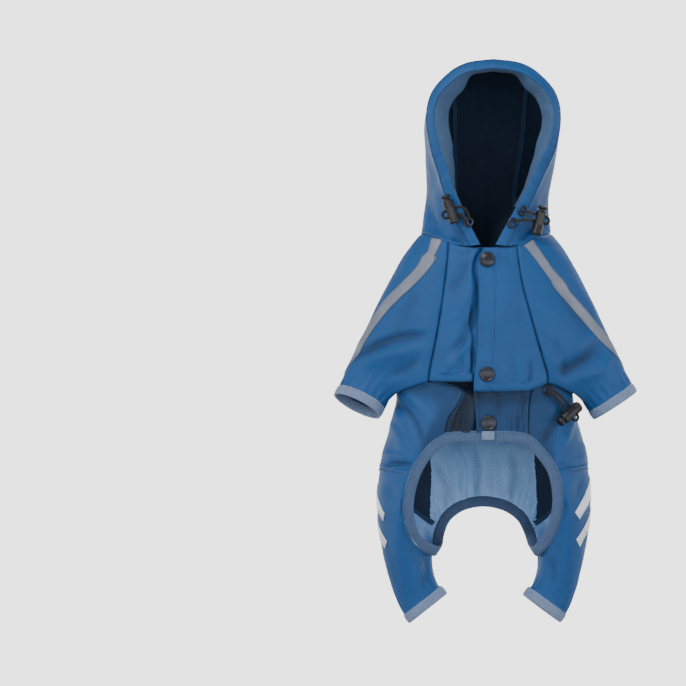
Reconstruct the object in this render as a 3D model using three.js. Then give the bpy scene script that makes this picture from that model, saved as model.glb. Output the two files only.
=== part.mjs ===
// Dog raincoat with a hood, two raglan sleeves and two trouser legs, filled out as if worn.
// Millimetres. +Z is up, the chest and belly face -Y, and +X is to the right as seen from the front.
// The origin is the middle of the neck, where the wearer holds the garment up.
// "right" and "left" in the names are +X and -X.
import * as THREE from 'three';

// Driving sizes
const CLOTH = 1.3;
const SEAM_TRIM = 0.2;
const HOOD_TRIM = 0.4;
const CHIN_TRIM = 1.3;
const CHIN_FROM = 0.8;
const LAID_ON = 0.35;
const TAPE_THICK = 0.8;
const TAPE_WIDTH = 10;
const TAPE_LIFT = 0.45;
const CASING_THICK = 2.4;
const BINDING_WIDTH = 7.5;
const BINDING_THICK = 2.6;
const CUFF_BINDING = 7;
const CORD = 2.3;
const SNAP = 12.6;
const EYELET_SEAT = 3.15;
const LOCK_BARREL = 9;
const LOCK_LENGTH = 20;
const LOCK_SLOT = 8.6;

// Roundness of the body's level sections: 1 is an ellipse, less is squarer
const SQUARE = 0.85;

// Level sections of the body: height, middle, half width, depth in front, depth behind
const BODY = [
  [-190, -0.8, 86, 39, 52],
  [-175, -1.7, 80.5, 42, 54],
  [-150, -3, 75.5, 46, 55],
  [-125, -1, 74, 49, 55],
  [-100, 0, 70, 50, 54],
  [-60, 0, 64, 47, 50],
  [-20, 0, 58, 41, 43],
  [-6, 0, 56, 38, 40],
  [12, 0, 53, 35, 36],
];

// Height of the neck seam: angle from the front, height
const NECK = [
  [0, -6.6],
  [15, -5.8],
  [24, -4.4],
  [35, -0.5],
  [52, 3.4],
  [75, 5.9],
  [95, 5],
  [115, 0],
  [140, -10],
  [160, -17],
  [180, -20],
];

// Front panels, share of the way down the chest: seam to the sleeve, free edge, edge of the overlap step
const CHEST = {
  right: [
    [0, 24, -3.5],
    [0.12, 25.4, -8.4],
    [0.3, 28.5, -7.4],
    [0.55, 35.5, -8],
    [0.78, 42.4, -9.4],
    [1, 49.3, -12.2],
  ],
  left: [
    [0, -32.5, 5, -6],
    [0.12, -33.3, 5, -11.5],
    [0.3, -35.4, 5, -13],
    [0.55, -39.2, 5, -14],
    [0.78, -43.6, 5, -13.6],
    [1, -48.6, 5, -12.6],
  ],
};
const UNDERLAP_STEP = 3.2;
const UNDERLAP_RUN = 4;

// Lower edge of the chest, where it folds under: place across, height
const HEM = {
  right: [
    [-14, -124.6],
    [10, -125],
    [33, -124.4],
    [42, -121.6],
    [50, -118],
  ],
  left: [
    [-50, -117],
    [-34, -117.4],
    [-14, -117.2],
    [8, -117.2],
  ],
};

// The fold under the chest: inward step as a share of its depth, extra step, rise as a share, drop
const FOLD = [
  [0, 0, 0, 7],
  [0, 0.3, 0, 2.6],
  [0, 1.3, 0, 0.4],
  [0.45, 0.3, 0, 0],
  [0.7, 0.2, 0.6, 0],
  [0.85, 0.1, 1, 0],
  [1, 0, 0.6, 0],
];
// The row of the fold that hangs lowest
const FOLD_LOWEST = 2;

// Depth and rise of that fold: place across, depth, rise
const FOLD_SIZE = {
  right: [
    [-14, 8.5, 1.6],
    [6, 8.5, 1.8],
    [14, 8.5, 4],
    [30, 8.5, 5],
    [40, 6, 3],
    [50, 4.4, 1],
  ],
  left: [
    [-50, 4.4, 1],
    [-42, 6, 2],
    [-34, 8.5, 4],
    [-22, 12, 6],
    [-14, 13.5, 6],
    [8, 13.5, 5],
  ],
};

// Seam from the belly to the side: share of the way down, place across, height, step in from the body
const BELLY_SEAM = {
  right: [
    [0, 49, -118.4, 4.6],
    [0.12, 42, -120.4, 6],
    [0.26, 36.6, -124, 7],
    [0.45, 34.6, -134, 6.4],
    [0.72, 33.8, -148, 4],
    [1, 34, -162.5, 1.2],
  ],
  left: [
    [0, -48, -117.4, 4.6],
    [0.15, -38, -118.4, 5.6],
    [0.32, -25, -121.6, 5.4],
    [0.46, -21, -127, 4.8],
    [0.64, -26, -137.5, 3.6],
    [0.82, -33, -148, 2.4],
    [1, -35, -160.8, 1],
  ],
};
const SEAM_TURN = 0.55;
const CHEST_ROWS = [0, 0.04, 0.16, 0.29, 0.42, 0.55, 0.68, 0.81, 0.92];
const LOWER_ROWS = [0, 0.12, 0.26, 0.4, 0.55, 0.7, 0.81, 0.91, 1];
const BELLY_EDGE = { right: -9.6, left: 5 };

// Edge of the opening between the legs: turn from the middle in front towards +X, place, and the way its
// binding points
const OPENING = [
  [0, 0, -41, -159, 0, 0.15, -1],
  [0.04, 20, -41, -159.5, -0.15, 0.15, -1],
  [0.069, 34, -40, -162.5, -0.3, 0.15, -0.95],
  [0.094, 43.5, -39, -171, -0.6, 0.15, -0.8],
  [0.14, 56.5, -36.5, -189.5, -0.85, 0.15, -0.5],
  [0.189, 61.4, -32, -213, -1, 0.15, -0.05],
  [0.233, 59.4, -25, -234, -0.95, 0.2, 0.25],
  [0.275, 52.5, -15, -251, -0.75, 0.2, 0.6],
  [0.313, 43.5, -3, -262.5, -0.5, 0.05, 0.85],
  [0.332, 41.2, 7, -262, -0.6, -0.1, 0.8],
  [0.364, 42.5, 19, -252.5, -0.95, -0.2, 0.15],
  [0.394, 40, 29, -241.5, -0.85, -0.2, -0.45],
  [0.425, 33, 36, -229.5, -0.6, -0.1, -0.8],
  [0.461, 19, 42.5, -220.5, -0.25, 0, -0.97],
  [0.5, 0, 45, -217, 0, 0, -1],
  [0.539, -19, 42.5, -220.5, 0.25, 0, -0.97],
  [0.575, -33, 36, -229.5, 0.6, -0.1, -0.8],
  [0.606, -40, 29, -241.5, 0.85, -0.2, -0.45],
  [0.636, -42.5, 19, -252.5, 0.95, -0.2, 0.15],
  [0.668, -41.2, 7, -262, 0.6, -0.1, 0.8],
  [0.687, -44, -3, -262.5, 0.5, 0.05, 0.85],
  [0.727, -58, -14.5, -254, 0.75, 0.2, 0.6],
  [0.765, -66.5, -24, -239, 0.95, 0.2, 0.25],
  [0.811, -68.5, -31, -216, 1, 0.15, -0.05],
  [0.86, -62, -36.5, -190.5, 0.85, 0.15, -0.5],
  [0.896, -50, -39, -172, 0.6, 0.15, -0.8],
  [0.931, -35, -40, -160.8, 0.3, 0.15, -0.95],
  [0.96, -20, -41, -159.5, 0.15, 0.15, -1],
  [1, 0, -41, -159, 0, 0.15, -1],
];
const HIP_FRONT = { right: 0.14, left: 0.86 };
const HIP_BACK = { right: 0.394, left: 0.606 };
const SIDE_FRONT = { right: 0.069, left: 0.931 };
const OPENING_LENGTH = 500;
const OPENING_GATHERS = 40;
const RUMP_GATHERS = 56;
const OPENING_WAVE = 1.25;

// Seam from the hip to the leg, on the right: share of the way, place, and the cloth's way down there
const HIP = [
  [0, 56.5, -36.5, -189.5, 0.45, -0.1, -1],
  [0.14, 70, -28, -189, 0.3, -0.02, -1],
  [0.28, 82, -13, -187.5, 0.28, 0, -0.97],
  [0.42, 86.5, 3, -187.5, 0.28, 0, -0.97],
  [0.58, 84, 19, -196, 0.15, 0.02, -1],
  [0.74, 73, 30, -212, 0, -0.05, -1],
  [0.88, 57, 33, -229, 0.15, -0.15, -1],
  [1, 40, 29, -241.5, 0.6, -0.25, -0.8],
];

// Angles round the body where the lower back's edge passes the side seam, hip seam and opening
const SIDE_ANGLE = { right: 39, left: 38 };
const HIP_ANGLES = [52, 138];
const ARMHOLE_BACK = 105;

// Lower edge of the armhole and of the upper back: angle from the front, height, step in from the body
const WAIST = [
  [36, -118.2, 4.6],
  [46, -119.5, 3],
  [60, -122, 1],
  [80, -124.5, 0],
  [105, -125.5, 0],
  [180, -125.5, 0],
];

// Cloth leaving the armhole, on the right: turn round it, its way, and how far it keeps to it
const ARMHOLE = [
  [0, 0.75, 0, -0.66, 105],
  [0.11, 0.88, -0.12, -0.45, 95],
  [0.25, 0.9, -0.3, -0.35, 75],
  [0.36, 0.82, -0.3, -0.5, 50],
  [0.44, 0.8, -0.15, -0.6, 32],
  [0.52, 0.82, 0, -0.57, 30],
  [0.63, 0.86, 0.1, -0.5, 35],
  [0.78, 0.85, 0.12, -0.5, 60],
  [0.93, 0.76, 0.08, -0.65, 90],
  [1, 0.75, 0, -0.66, 105],
];
const NECK_TURN = [0.11, 0.93];
const RAGLAN_TURN = [0.4, 0.63];
const SHOULDER_ANGLE = 75;
const ARMHOLE_LIFT = 2.4;
const CHEST_SHARE = 0.94;

// Cuffs: middle of the cloth's edge, the way it points, half its width and half its depth
const CUFF = {
  right: { at: [104, -6, -131.5], axis: [0.55, 0, -0.835], wide: 21.5, deep: 18 },
  left: { at: [-104.5, -8, -132], axis: [-0.45, -0.31, -0.84], wide: 21.5, deep: 17 },
};
const CUFF_REACH = 85;
const CUFF_GATHERS = 9;
const CUFF_WAVE = 1.2;

// Legs: the same for the hems
const HEM_RING = {
  right: { at: [51, 1, -302], axis: [-0.6, -0.06, -0.8], wide: 19.5, deep: 15.5 },
  left: { at: [-52.5, 1, -302], axis: [0.62, -0.08, -0.78], wide: 20, deep: 15.5 },
};
const HEM_REACH = 70;
const HEM_GATHERS = 9;
const HEM_WAVE = 1.2;

// Where the leg's upper edge meets the hem: turn round the leg, angle round the hem
const LEG_TWIST = [
  [0, 15],
  [0.2, 88],
  [0.36, 140],
  [0.52, 200],
  [0.66, 262],
  [0.74, 300],
  [0.88, 342],
  [1, 375],
];
const LEG_SEAM_TURN = 0.52;
// Cloth leaving the opening for the leg: share of the way from back to front, how much it falls, its reach
const LEG_EDGE = [
  [0, 1.2, 20],
  [0.12, 0.9, 14],
  [0.28, 0.15, 14],
  [0.5, 0.2, 26],
  [0.75, 0.4, 40],
  [0.9, 0.7, 50],
  [1, 1, 60],
];

// Hood from its top to its chin: share, inner edge of the rim, outer edge of the rim
const RIM = [
  [0, 0, -42, 141, 0, -36.5, 148.6],
  [0.14, 20, -42.5, 138, 21.5, -37, 145.6],
  [0.25, 33, -43, 131, 36, -37, 138],
  [0.37, 45.5, -43.4, 118, 50.5, -37, 122],
  [0.5, 49.8, -43.5, 101, 55.4, -37, 102],
  [0.64, 45.6, -43, 79, 52, -37, 76.5],
  [0.76, 36, -42, 56, 43.4, -37, 52.5],
  [0.86, 27.6, -41, 36, 35.4, -37, 32],
  [0.94, 17, -39.6, 15.5, 25.6, -37.2, 11],
  [1, 6.4, -38.6, -4.4, 15.6, -38, -5.4],
];

// Hood from rim to neck seam: share round the rim, then three places along the cloth between the two
const HOOD = [
  [0, 0, 20, 144, 0, 56, 97, 0, 59, 38],
  [0.25, 33, 18, 134, 30.5, 51, 92, 27, 53.5, 36],
  [0.5, 55.8, -10, 95, 52.4, 15, 69, 46.4, 25, 35],
  [0.76, 43, -22, 46, 46, -12, 35, 49.5, -6, 21],
  [1, 17, -38.3, -5.3, 18.6, -38.1, -5.2, 20.2, -37.8, -5.1],
];
const HOOD_COLUMNS = [0.28, 0.54, 0.77];
const CROWN = 0.25;
// Where those places meet the neck seam: share round the rim, angle from the front
const HOOD_FOOT = [
  [0, 180],
  [0.25, 146],
  [0.5, 115],
  [0.76, 78],
  [1, 19],
];
const LEAN = 4.6;
const LEAN_FROM = 5;
const LEAN_TO = 90;

// Tape down each sleeve: share of its way, turn round the sleeve, share down the sleeve
const TAPE = {
  right: [
    [0, 0.09, 0.02],
    [0.22, 0.11, 0.3],
    [0.45, 0.1, 0.5],
    [0.65, 0.07, 0.66],
    [0.82, -0.03, 0.82],
    [1, -0.15, 0.965],
  ],
  left: [
    [0, 0.08, 0.02],
    [0.15, 0.12, 0.2],
    [0.35, 0.11, 0.38],
    [0.58, 0.07, 0.56],
    [0.8, 0.01, 0.78],
    [1, -0.14, 0.965],
  ],
};

// Reflective bars on the outside of each leg: share of the bar, turn round the leg, share down the leg
const BAR_WIDTH = 9;
const BARS = {
  right: [
    [[0, 0.21, 0.1], [1, 0.06, 0.32]],
    [[0, 0.23, 0.27], [1, 0.075, 0.48]],
  ],
  left: [
    [[0, 0.27, 0.1], [1, 0.12, 0.32]],
    [[0, 0.29, 0.27], [1, 0.135, 0.48]],
  ],
};

// Strip across the back that carries the waist cord, and the flap over the upper back
const TUNNEL = { top: -111, foot: -139, from: 109 };
const FLAP = { right: 28, left: -24.5, head: 1.6, foot: -67, lift: 1.2 };

// Round pieces on the front: place across, height, and the panel that each sits on
const SNAPS = {
  snap_top: [-0.9, -16.7, 'front_right'],
  snap_middle: [-1.4, -111, 'front_right'],
  snap_belly: [0.4, -151.4, 'front_right'],
};
const EYELETS = {
  eyelet_hood_upper: [28.4, 23.4, 'hood_rim'],
  eyelet_hood_lower: [19.9, 13.3, 'hood_rim'],
  eyelet_hood_left: [-16.4, 14.2, 'hood_rim'],
  eyelet_waist: [49.4, -124, 'back_lower'],
};

// The binding's end, folded over on the front of the opening: place across, height, place in depth, and size
const TAB = { at: [-0.1, -42.9, -161.6], size: [10.6, 1.2, 7.2] };

// Cord locks: middle of the barrel, way to the button, way the cord's ends leave, how far the slot lies from
// the middle towards the button
const LOCKS = {
  hood_right: { at: [42.3, -32.5, 13.6], axis: [0.26, 0, 0.97], slot: [-0.97, 0, 0.26], offset: 3.4 },
  hood_left: { at: [-30.7, -45.6, 22.4], axis: [-0.36, 0, 0.93], slot: [0.93, 0, 0.36], offset: -1 },
  waist: { at: [69.2, -31.2, -143], axis: [-0.7, -0.42, -0.58], slot: [-0.64, 0, 0.77], offset: 0 },
};

// Cords from eyelet through the lock, round a loop, and back
const CORDS = {
  hood_right: [
    [28.9, -40.7, 23.2],
    [31.6, -41.9, 22.9],
    [34.4, -39.8, 22.4],
    [36.8, -35.4, 21.6],
    [39.4, -32.7, 20.8],
    [43.9, -32.5, 19.6],
    [48.2, -32.5, 18.4],
    [50.2, -32.5, 17.2],
    [50.7, -32.5, 14.9],
    [49.1, -32.5, 13],
    [46.9, -32.5, 13],
    [42.5, -32.5, 14.2],
    [38, -32.7, 15.4],
    [34.4, -35.8, 16.2],
    [30.2, -41, 16.2],
    [25.4, -43.2, 15.2],
    [20.6, -42.3, 13.5],
  ],
  hood_left: [
    [-15.9, -42.8, 15.9],
    [-16.4, -44.2, 20],
    [-19.2, -45.3, 24.4],
    [-23.2, -45.6, 26.4],
    [-27.1, -45.6, 25.7],
    [-31.3, -45.6, 24.1],
    [-35.5, -45.6, 22.5],
    [-37.3, -45.6, 21.2],
    [-37.6, -45.6, 18.7],
    [-35.8, -45.6, 17.1],
    [-33.5, -45.6, 17.3],
    [-29.4, -45.6, 19.2],
    [-25.3, -45.6, 20.9],
    [-22.6, -45.2, 19.8],
    [-20.2, -44.3, 16.8],
    [-17.6, -42.8, 12.9],
  ],
  waist: [
    [50.6, -38, -123.4],
    [54, -40.2, -124.9],
    [59.6, -38.8, -129],
    [65, -33.4, -134.2],
    [68.3, -30.3, -137.9],
    [71.2, -30, -141.4],
    [74.1, -30, -144.9],
    [75, -30.3, -146.9],
    [74.2, -31.2, -149],
    [72, -32.1, -149.5],
    [70.1, -32.4, -148.1],
    [67.2, -32.4, -144.6],
    [64.3, -32.4, -141.2],
    [60.6, -35.8, -136],
    [56.2, -39, -130.8],
    [52.8, -39.4, -127.8],
    [50, -38, -126.2],
  ],
};
const CORD_STEP = 3;

// Small sums
const rad = (degrees) => (degrees * Math.PI) / 180;
const mix = (a, b, t) => a + (b - a) * t;
const clamp = (t) => Math.min(1, Math.max(0, t));
const ease = (t) => clamp(t) ** 2 * (3 - 2 * clamp(t));
const power = (value, exponent) => Math.sign(value) * Math.abs(value) ** exponent;
const vec = (x, y, z) => new THREE.Vector3(x, y, z);
const steps = (from, to, count) => Array.from({ length: count + 1 }, (_, i) => mix(from, to, i / count));

// The columns of a table at a key, on a smooth curve through its rows
function along(table, key) {
  const last = table.length - 1;
  const at = Math.min(Math.max(key, table[0][0]), table[last][0]);
  let i = 0;
  while (i < last - 1 && at > table[i + 1][0]) i += 1;
  const width = table[i + 1][0] - table[i][0];
  const t = (at - table[i][0]) / width;
  const slope = (row, column) => {
    const before = table[Math.max(row - 1, 0)];
    const after = table[Math.min(row + 1, last)];
    return ((after[column] - before[column]) / (after[0] - before[0])) * width;
  };
  return table[i].slice(1).map((value, c) => {
    const next = table[i + 1][c + 1];
    const start = slope(i, c + 1);
    const end = slope(i + 1, c + 1);
    const bend = (t - 2 * t * t + t ** 3) * start + (t ** 3 - t * t) * end;
    return value + (3 * t * t - 2 * t ** 3) * (next - value) + bend;
  });
}

// A point on a smooth line between two places that leaves and arrives along two given ways
function bridge(from, to, leave, arrive, t) {
  const point = from.clone().multiplyScalar(1 - 3 * t * t + 2 * t ** 3);
  point.addScaledVector(to, 3 * t * t - 2 * t ** 3);
  point.addScaledVector(leave, t - 2 * t * t + t ** 3);
  return point.addScaledVector(arrive, t ** 3 - t * t);
}

// A surface moved out along its own normal; outward is 1 or -1 by the way its two directions turn
function raised(base, lift, outward) {
  const tiny = 1e-3;
  return (a, b) => {
    const point = base(a, b);
    const alongA = base(a + tiny, b).sub(base(a - tiny, b));
    const alongB = base(a, b + tiny).sub(base(a, b - tiny));
    const normal = alongA.cross(alongB).normalize().multiplyScalar(outward);
    return point.addScaledVector(normal, lift(a, b, point, normal));
  };
}

// The way out of a surface at a place, seen from its middle
function wayOut(surface, a, b, middle) {
  const tiny = 1e-3;
  const alongA = surface(a + tiny, b).sub(surface(a - tiny, b));
  const normal = alongA.cross(surface(a, b + tiny).sub(surface(a, b - tiny))).normalize();
  return normal.dot(surface(a, b).sub(middle)) < 0 ? normal.negate() : normal;
}

// Triangles between two rows of points, each row with its own keys
function zip(low, high, closed, add) {
  const lowCount = low.keys.length;
  const highCount = high.keys.length;
  const lowSteps = closed ? lowCount : lowCount - 1;
  const highSteps = closed ? highCount : highCount - 1;
  const lowKey = (i) => (i < lowCount ? low.keys[i] : 1 + low.keys[0]);
  const highKey = (j) => (j < highCount ? high.keys[j] : 1 + high.keys[0]);
  let i = 0;
  let j = 0;
  while (i < lowSteps || j < highSteps) {
    const lowNext = i < lowSteps ? lowKey(i) + lowKey(i + 1) : Infinity;
    const highNext = j < highSteps ? highKey(j) + highKey(j + 1) : Infinity;
    const a = low.first + (i % lowCount);
    const b = high.first + (j % highCount);
    if (lowNext <= highNext) {
      add(a, low.first + ((i + 1) % lowCount), b);
      i += 1;
    } else {
      add(a, high.first + ((j + 1) % highCount), b);
      j += 1;
    }
  }
}

function normalsOf(points, faces) {
  const normals = points.map(() => vec(0, 0, 0));
  faces.forEach(([a, b, c]) => {
    const way = points[b].clone().sub(points[a]).cross(points[c].clone().sub(points[a]));
    [a, b, c].forEach((i) => normals[i].add(way));
  });
  return normals.map((normal) => normal.normalize());
}

function geometryOf(points, faces) {
  const geometry = new THREE.BufferGeometry();
  const numbers = new Float32Array(points.flatMap((p) => [p.x, p.y, p.z]));
  geometry.setAttribute('position', new THREE.BufferAttribute(numbers, 3));
  geometry.setIndex(faces.flat());
  geometry.computeVertexNormals();
  return geometry;
}

// Pull the border of open rows in by the trim, so that a seam's two sides stay apart
function trimRows(rows, points, trim, trimTop, closed) {
  const before = points.map((p) => p.clone());
  const pull = (from, to, amount = trim) => {
    const way = before[to].clone().sub(before[from]);
    points[from].addScaledVector(way, Math.min(0.45, amount / way.length()));
  };
  const nearest = (row, key) => {
    const gaps = row.keys.map((k) => Math.abs(k - key));
    return row.first + gaps.indexOf(Math.min(...gaps));
  };
  const last = rows.length - 1;
  rows[0].keys.forEach((key, i) => pull(rows[0].first + i, nearest(rows[1], key), trimTop));
  rows[last].keys.forEach((key, i) => pull(rows[last].first + i, nearest(rows[last - 1], key)));
  if (closed) return;
  rows.forEach((row) => {
    const end = row.first + row.keys.length - 1;
    pull(row.first, row.first + 1);
    pull(end, end - 1);
  });
}

// A closed wall of cloth: its outer side is the surface at the given keys, and its inner side lies the
// wall's thickness inside. Each row is [b, keys along a]. Where border gives a way out, the edge follows it,
// so that two panels meet along parallel faces.
function wall(surface, rowKeys, options = {}) {
  const { thick = CLOTH, closed = false, flip = false, trim = SEAM_TRIM, border = () => null } = options;
  const { trimTop = trim } = options;
  const points = [];
  const ways = [];
  const rows = rowKeys.map(([b, keys], row) => {
    const first = points.length;
    const outer = row === 0 || row === rowKeys.length - 1;
    keys.forEach((a, i) => {
      const point = surface(a, b);
      const edge = outer || (!closed && (i === 0 || i === keys.length - 1));
      ways.push(edge ? border(a, b, point, row) : null);
      points.push(point);
    });
    return { first, keys };
  });
  trimRows(rows, points, trim, trimTop, closed);
  const faces = [];
  const add = (a, b, c) => faces.push(flip ? [a, c, b] : [a, b, c]);
  for (let r = 0; r < rows.length - 1; r += 1) zip(rows[r], rows[r + 1], closed, add);
  const count = points.length;
  const normals = normalsOf(points, faces);
  const inner = points.map((p, i) => p.clone().addScaledVector(ways[i] ?? normals[i], -thick));
  const edges = new Map();
  faces.forEach(([a, b, c]) => {
    [[a, b], [b, c], [c, a]].forEach(([from, to]) => edges.set(`${from},${to}`, [from, to]));
  });
  const all = faces.concat(faces.map(([a, b, c]) => [a + count, c + count, b + count]));
  edges.forEach(([from, to]) => {
    if (edges.has(`${to},${from}`)) return;
    all.push([from, from + count, to], [to, from + count, to + count]);
  });
  return geometryOf(points.concat(inner), all);
}

// A closed solid through sections with the same count of points, each turning the same way
function sweep(sections, closed) {
  const size = sections[0].length;
  const points = sections.flat();
  const faces = [];
  const count = sections.length;
  for (let s = 0; s < (closed ? count : count - 1); s += 1) {
    for (let i = 0; i < size; i += 1) {
      const a = s * size + i;
      const b = s * size + ((i + 1) % size);
      const c = ((s + 1) % count) * size + i;
      const d = ((s + 1) % count) * size + ((i + 1) % size);
      faces.push([a, b, d], [a, d, c]);
    }
  }
  if (!closed) {
    const end = (count - 1) * size;
    for (let i = 1; i < size - 1; i += 1) {
      faces.push([0, i + 1, i], [end, end + i, end + i + 1]);
    }
  }
  const volume = faces.reduce((sum, [a, b, c]) => {
    return sum + points[a].dot(points[b].clone().cross(points[c]));
  }, 0);
  return geometryOf(points, volume > 0 ? faces : faces.map(([a, b, c]) => [a, c, b]));
}

const keep = (side) => (side === 'right' ? 1 : -1);

// The body's level section at a height, by the angle from the front; positive angles are to the right
function body(angle, z, inward = 0) {
  const [middle, wide, front, back] = along(BODY, z);
  const across = power(Math.sin(rad(angle)), SQUARE);
  const deep = power(Math.cos(rad(angle)), SQUARE);
  const depth = deep > 0 ? front : back;
  return vec(middle + (wide - inward * 0.6) * across, -(depth - inward) * deep, z);
}

// The level way out of the body at a place on it
function bodyWay(point) {
  const [middle, wide, front, back] = along(BODY, point.z);
  const depth = point.y < 0 ? front : back;
  return vec((point.x - middle) / wide ** 2, point.y / depth ** 2, 0).normalize();
}

const neckSeam = (angle) => body(angle, along(NECK, Math.abs(angle))[0]);

// The angle at which the front of the body passes a place across
function angleAt(x, z) {
  const [middle, wide] = along(BODY, z);
  const share = Math.min(1, Math.abs(x - middle) / wide);
  return (Math.sign(x - middle) * Math.asin(share ** (1 / SQUARE)) * 180) / Math.PI;
}

const onFront = (x, z, inward = 0) => {
  const point = body(angleAt(x, z), z);
  return vec(x, point.y + inward, z);
};

function neckHeightAt(x) {
  const guess = along(NECK, Math.abs(angleAt(x, NECK[1][1])))[0];
  return along(NECK, Math.abs(angleAt(x, guess)))[0];
}

// The chest of one front panel: a from the free edge to the sleeve seam, b down to the fold
function chest(side, a, b) {
  const [seam, edge, step = 0] = along(CHEST[side], b);
  const x = mix(edge, seam, a);
  const z = mix(neckHeightAt(x), along(HEM[side], x)[0] + FOLD[0][3], b);
  const under = side === 'left' ? UNDERLAP_STEP * ease((x - step) / UNDERLAP_RUN + 0.5) : 0;
  return onFront(x, z, under);
}

// The fold under the chest: its rows run from 0 to 1
function chestFold(side, a, row) {
  const [share, extra, rise, drop] = FOLD[row];
  const top = chest(side, a, 1);
  const [depth, height] = along(FOLD_SIZE[side], top.x);
  const inward = share * depth + extra;
  return vec(top.x, top.y + inward, top.z - FOLD[0][3] + rise * height + drop);
}

function seamToSide(side, b) {
  const [x, z, inward] = along(BELLY_SEAM[side], b);
  const point = onFront(x, z, inward);
  const end = opening(SIDE_FRONT[side]);
  return point.lerp(end, ease((b - 0.75) / 0.25));
}

function opening(turn) {
  const [x, y, z] = along(OPENING, ((turn % 1) + 1) % 1);
  return vec(x, y, z);
}

function openingWay(turn) {
  const [, , , x, y, z] = along(OPENING, ((turn % 1) + 1) % 1);
  return vec(x, y, z).normalize();
}

// The way out of the cloth at the opening's edge
function openingOut(turn) {
  const next = opening(turn + 0.004).sub(opening(turn - 0.004));
  return openingWay(turn).cross(next).normalize();
}

const bellyTurn = (side, a) => {
  const seamTurn = side === 'right' ? SIDE_FRONT.right : SIDE_FRONT.left - 1;
  return mix(BELLY_EDGE[side] / OPENING_LENGTH, seamTurn, a);
};

// The belly below the fold, from the free edge to the side seam
function belly(side, a, b) {
  const top = chestFold(side, a, FOLD.length - 1);
  const foot = opening(bellyTurn(side, a));
  if (side === 'left') foot.y += 3.4 * ease((foot.x + 15) / 5);
  const leave = vec(0, 1, -24);
  const arrive = vec(0, -2, -24);
  const point = bridge(top, foot, leave, arrive, b);
  const seam = seamToSide(side, b);
  const corner = chestFold(side, 1, FOLD.length - 1);
  const straight = bridge(corner, opening(bellyTurn(side, 1)), leave, arrive, b);
  const shift = seam.sub(straight);
  return point.add(vec(shift.x * a ** 1.5, shift.y * a ** 5, shift.z * a ** 1.5));
}

// The way out at the seam from the belly to the side, which both of its panels follow
const sideSeamWay = (side, point) => bodyWay(point).add(vec(keep(side) * -SEAM_TURN, 0, 0)).normalize();

function frontPanel(side) {
  const folds = FOLD.length - 1;
  const all = CHEST_ROWS.map((b) => (a) => chest(side, a, b));
  for (let row = 0; row <= folds; row += 1) all.push((a) => chestFold(side, a, row));
  LOWER_ROWS.slice(1).forEach((b) => all.push((a) => belly(side, a, b)));
  const keys = side === 'right' ? steps(0, 1, 8) : [0, 0.15, 0.26, 0.33, 0.4, 0.52, 0.64, 0.76, 0.88, 1];
  const surface = (a, row) => all[row](a);
  const foot = all.length - 1;
  const border = (a, b, point, row) => {
    if (row === foot) return openingOut(bellyTurn(side, a));
    if (a < 1) return null;
    return row < CHEST_ROWS.length + FOLD_LOWEST + 1 ? bodyWay(point) : sideSeamWay(side, point);
  };
  return wall(surface, all.map((_, row) => [row, keys]), { flip: side === 'right', border });
}

// Share of the opening's wave at a turn, and how it dies away with the distance from the edge
const openingWave = (turn, distance) => {
  const near = (1 - Math.exp(-distance / 3)) * Math.exp(-distance / 13);
  const rump = turn > HIP_BACK.right && turn < HIP_BACK.left;
  const count = rump ? RUMP_GATHERS : OPENING_GATHERS;
  return OPENING_WAVE * 2 * near * Math.cos(2 * Math.PI * count * (turn - 0.5));
};

// The hip seam of one side, its ends on the opening's edge
function hip(side, share) {
  const sign = keep(side);
  const [x, y, z] = along(HIP, share);
  const first = opening(HIP_FRONT[side]).sub(vec(sign * HIP[0][1], HIP[0][2], HIP[0][3]));
  const last = HIP[HIP.length - 1];
  const final = opening(HIP_BACK[side]).sub(vec(sign * last[1], last[2], last[3]));
  const point = vec(sign * x, y, z);
  return point.addScaledVector(first, 1 - share).addScaledVector(final, share);
}

function hipWay(side, share) {
  const [, , , x, y, z] = along(HIP, share);
  return vec(keep(side) * x, y, z).normalize();
}

// Lower edge of the lower back by the angle from the front: its turn of the opening, or its share of the hip
function lowerEdge(side, angle) {
  const start = SIDE_ANGLE[side];
  const turn = (low, high, from, to) => mix(low, high, (angle - from) / (to - from));
  const down = vec(0, 0, -1);
  if (angle <= HIP_ANGLES[0]) {
    const at = turn(SIDE_FRONT[side], HIP_FRONT[side], start, HIP_ANGLES[0]);
    return { point: opening(at), way: openingWay(at).lerp(down, 0.6).normalize(), turn: at };
  }
  if (angle < HIP_ANGLES[1]) {
    const share = (angle - HIP_ANGLES[0]) / (HIP_ANGLES[1] - HIP_ANGLES[0]);
    return { point: hip(side, share), way: hipWay(side, share).lerp(down, 0.5).normalize(), turn: null };
  }
  const middle = 0.5;
  const at = turn(HIP_BACK[side], middle, HIP_ANGLES[1], 180);
  return { point: opening(at), way: openingWay(at).lerp(down, 0.4).normalize(), turn: at };
}

const waistAt = (angle) => {
  const [z, inward] = along(WAIST, Math.abs(angle));
  return body(angle, z, inward);
};

// The side and the angle from the front at a share of the way round the lower back, and the way back
const BACK_SPAN = 360 - SIDE_ANGLE.right - SIDE_ANGLE.left;

function backAngle(a) {
  const turned = SIDE_ANGLE.right + a * BACK_SPAN;
  return turned <= 180 ? { side: 'right', angle: turned } : { side: 'left', angle: 360 - turned };
}

const backShare = (side, angle) => ((side === 'right' ? angle : 360 - angle) - SIDE_ANGLE.right) / BACK_SPAN;

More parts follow.
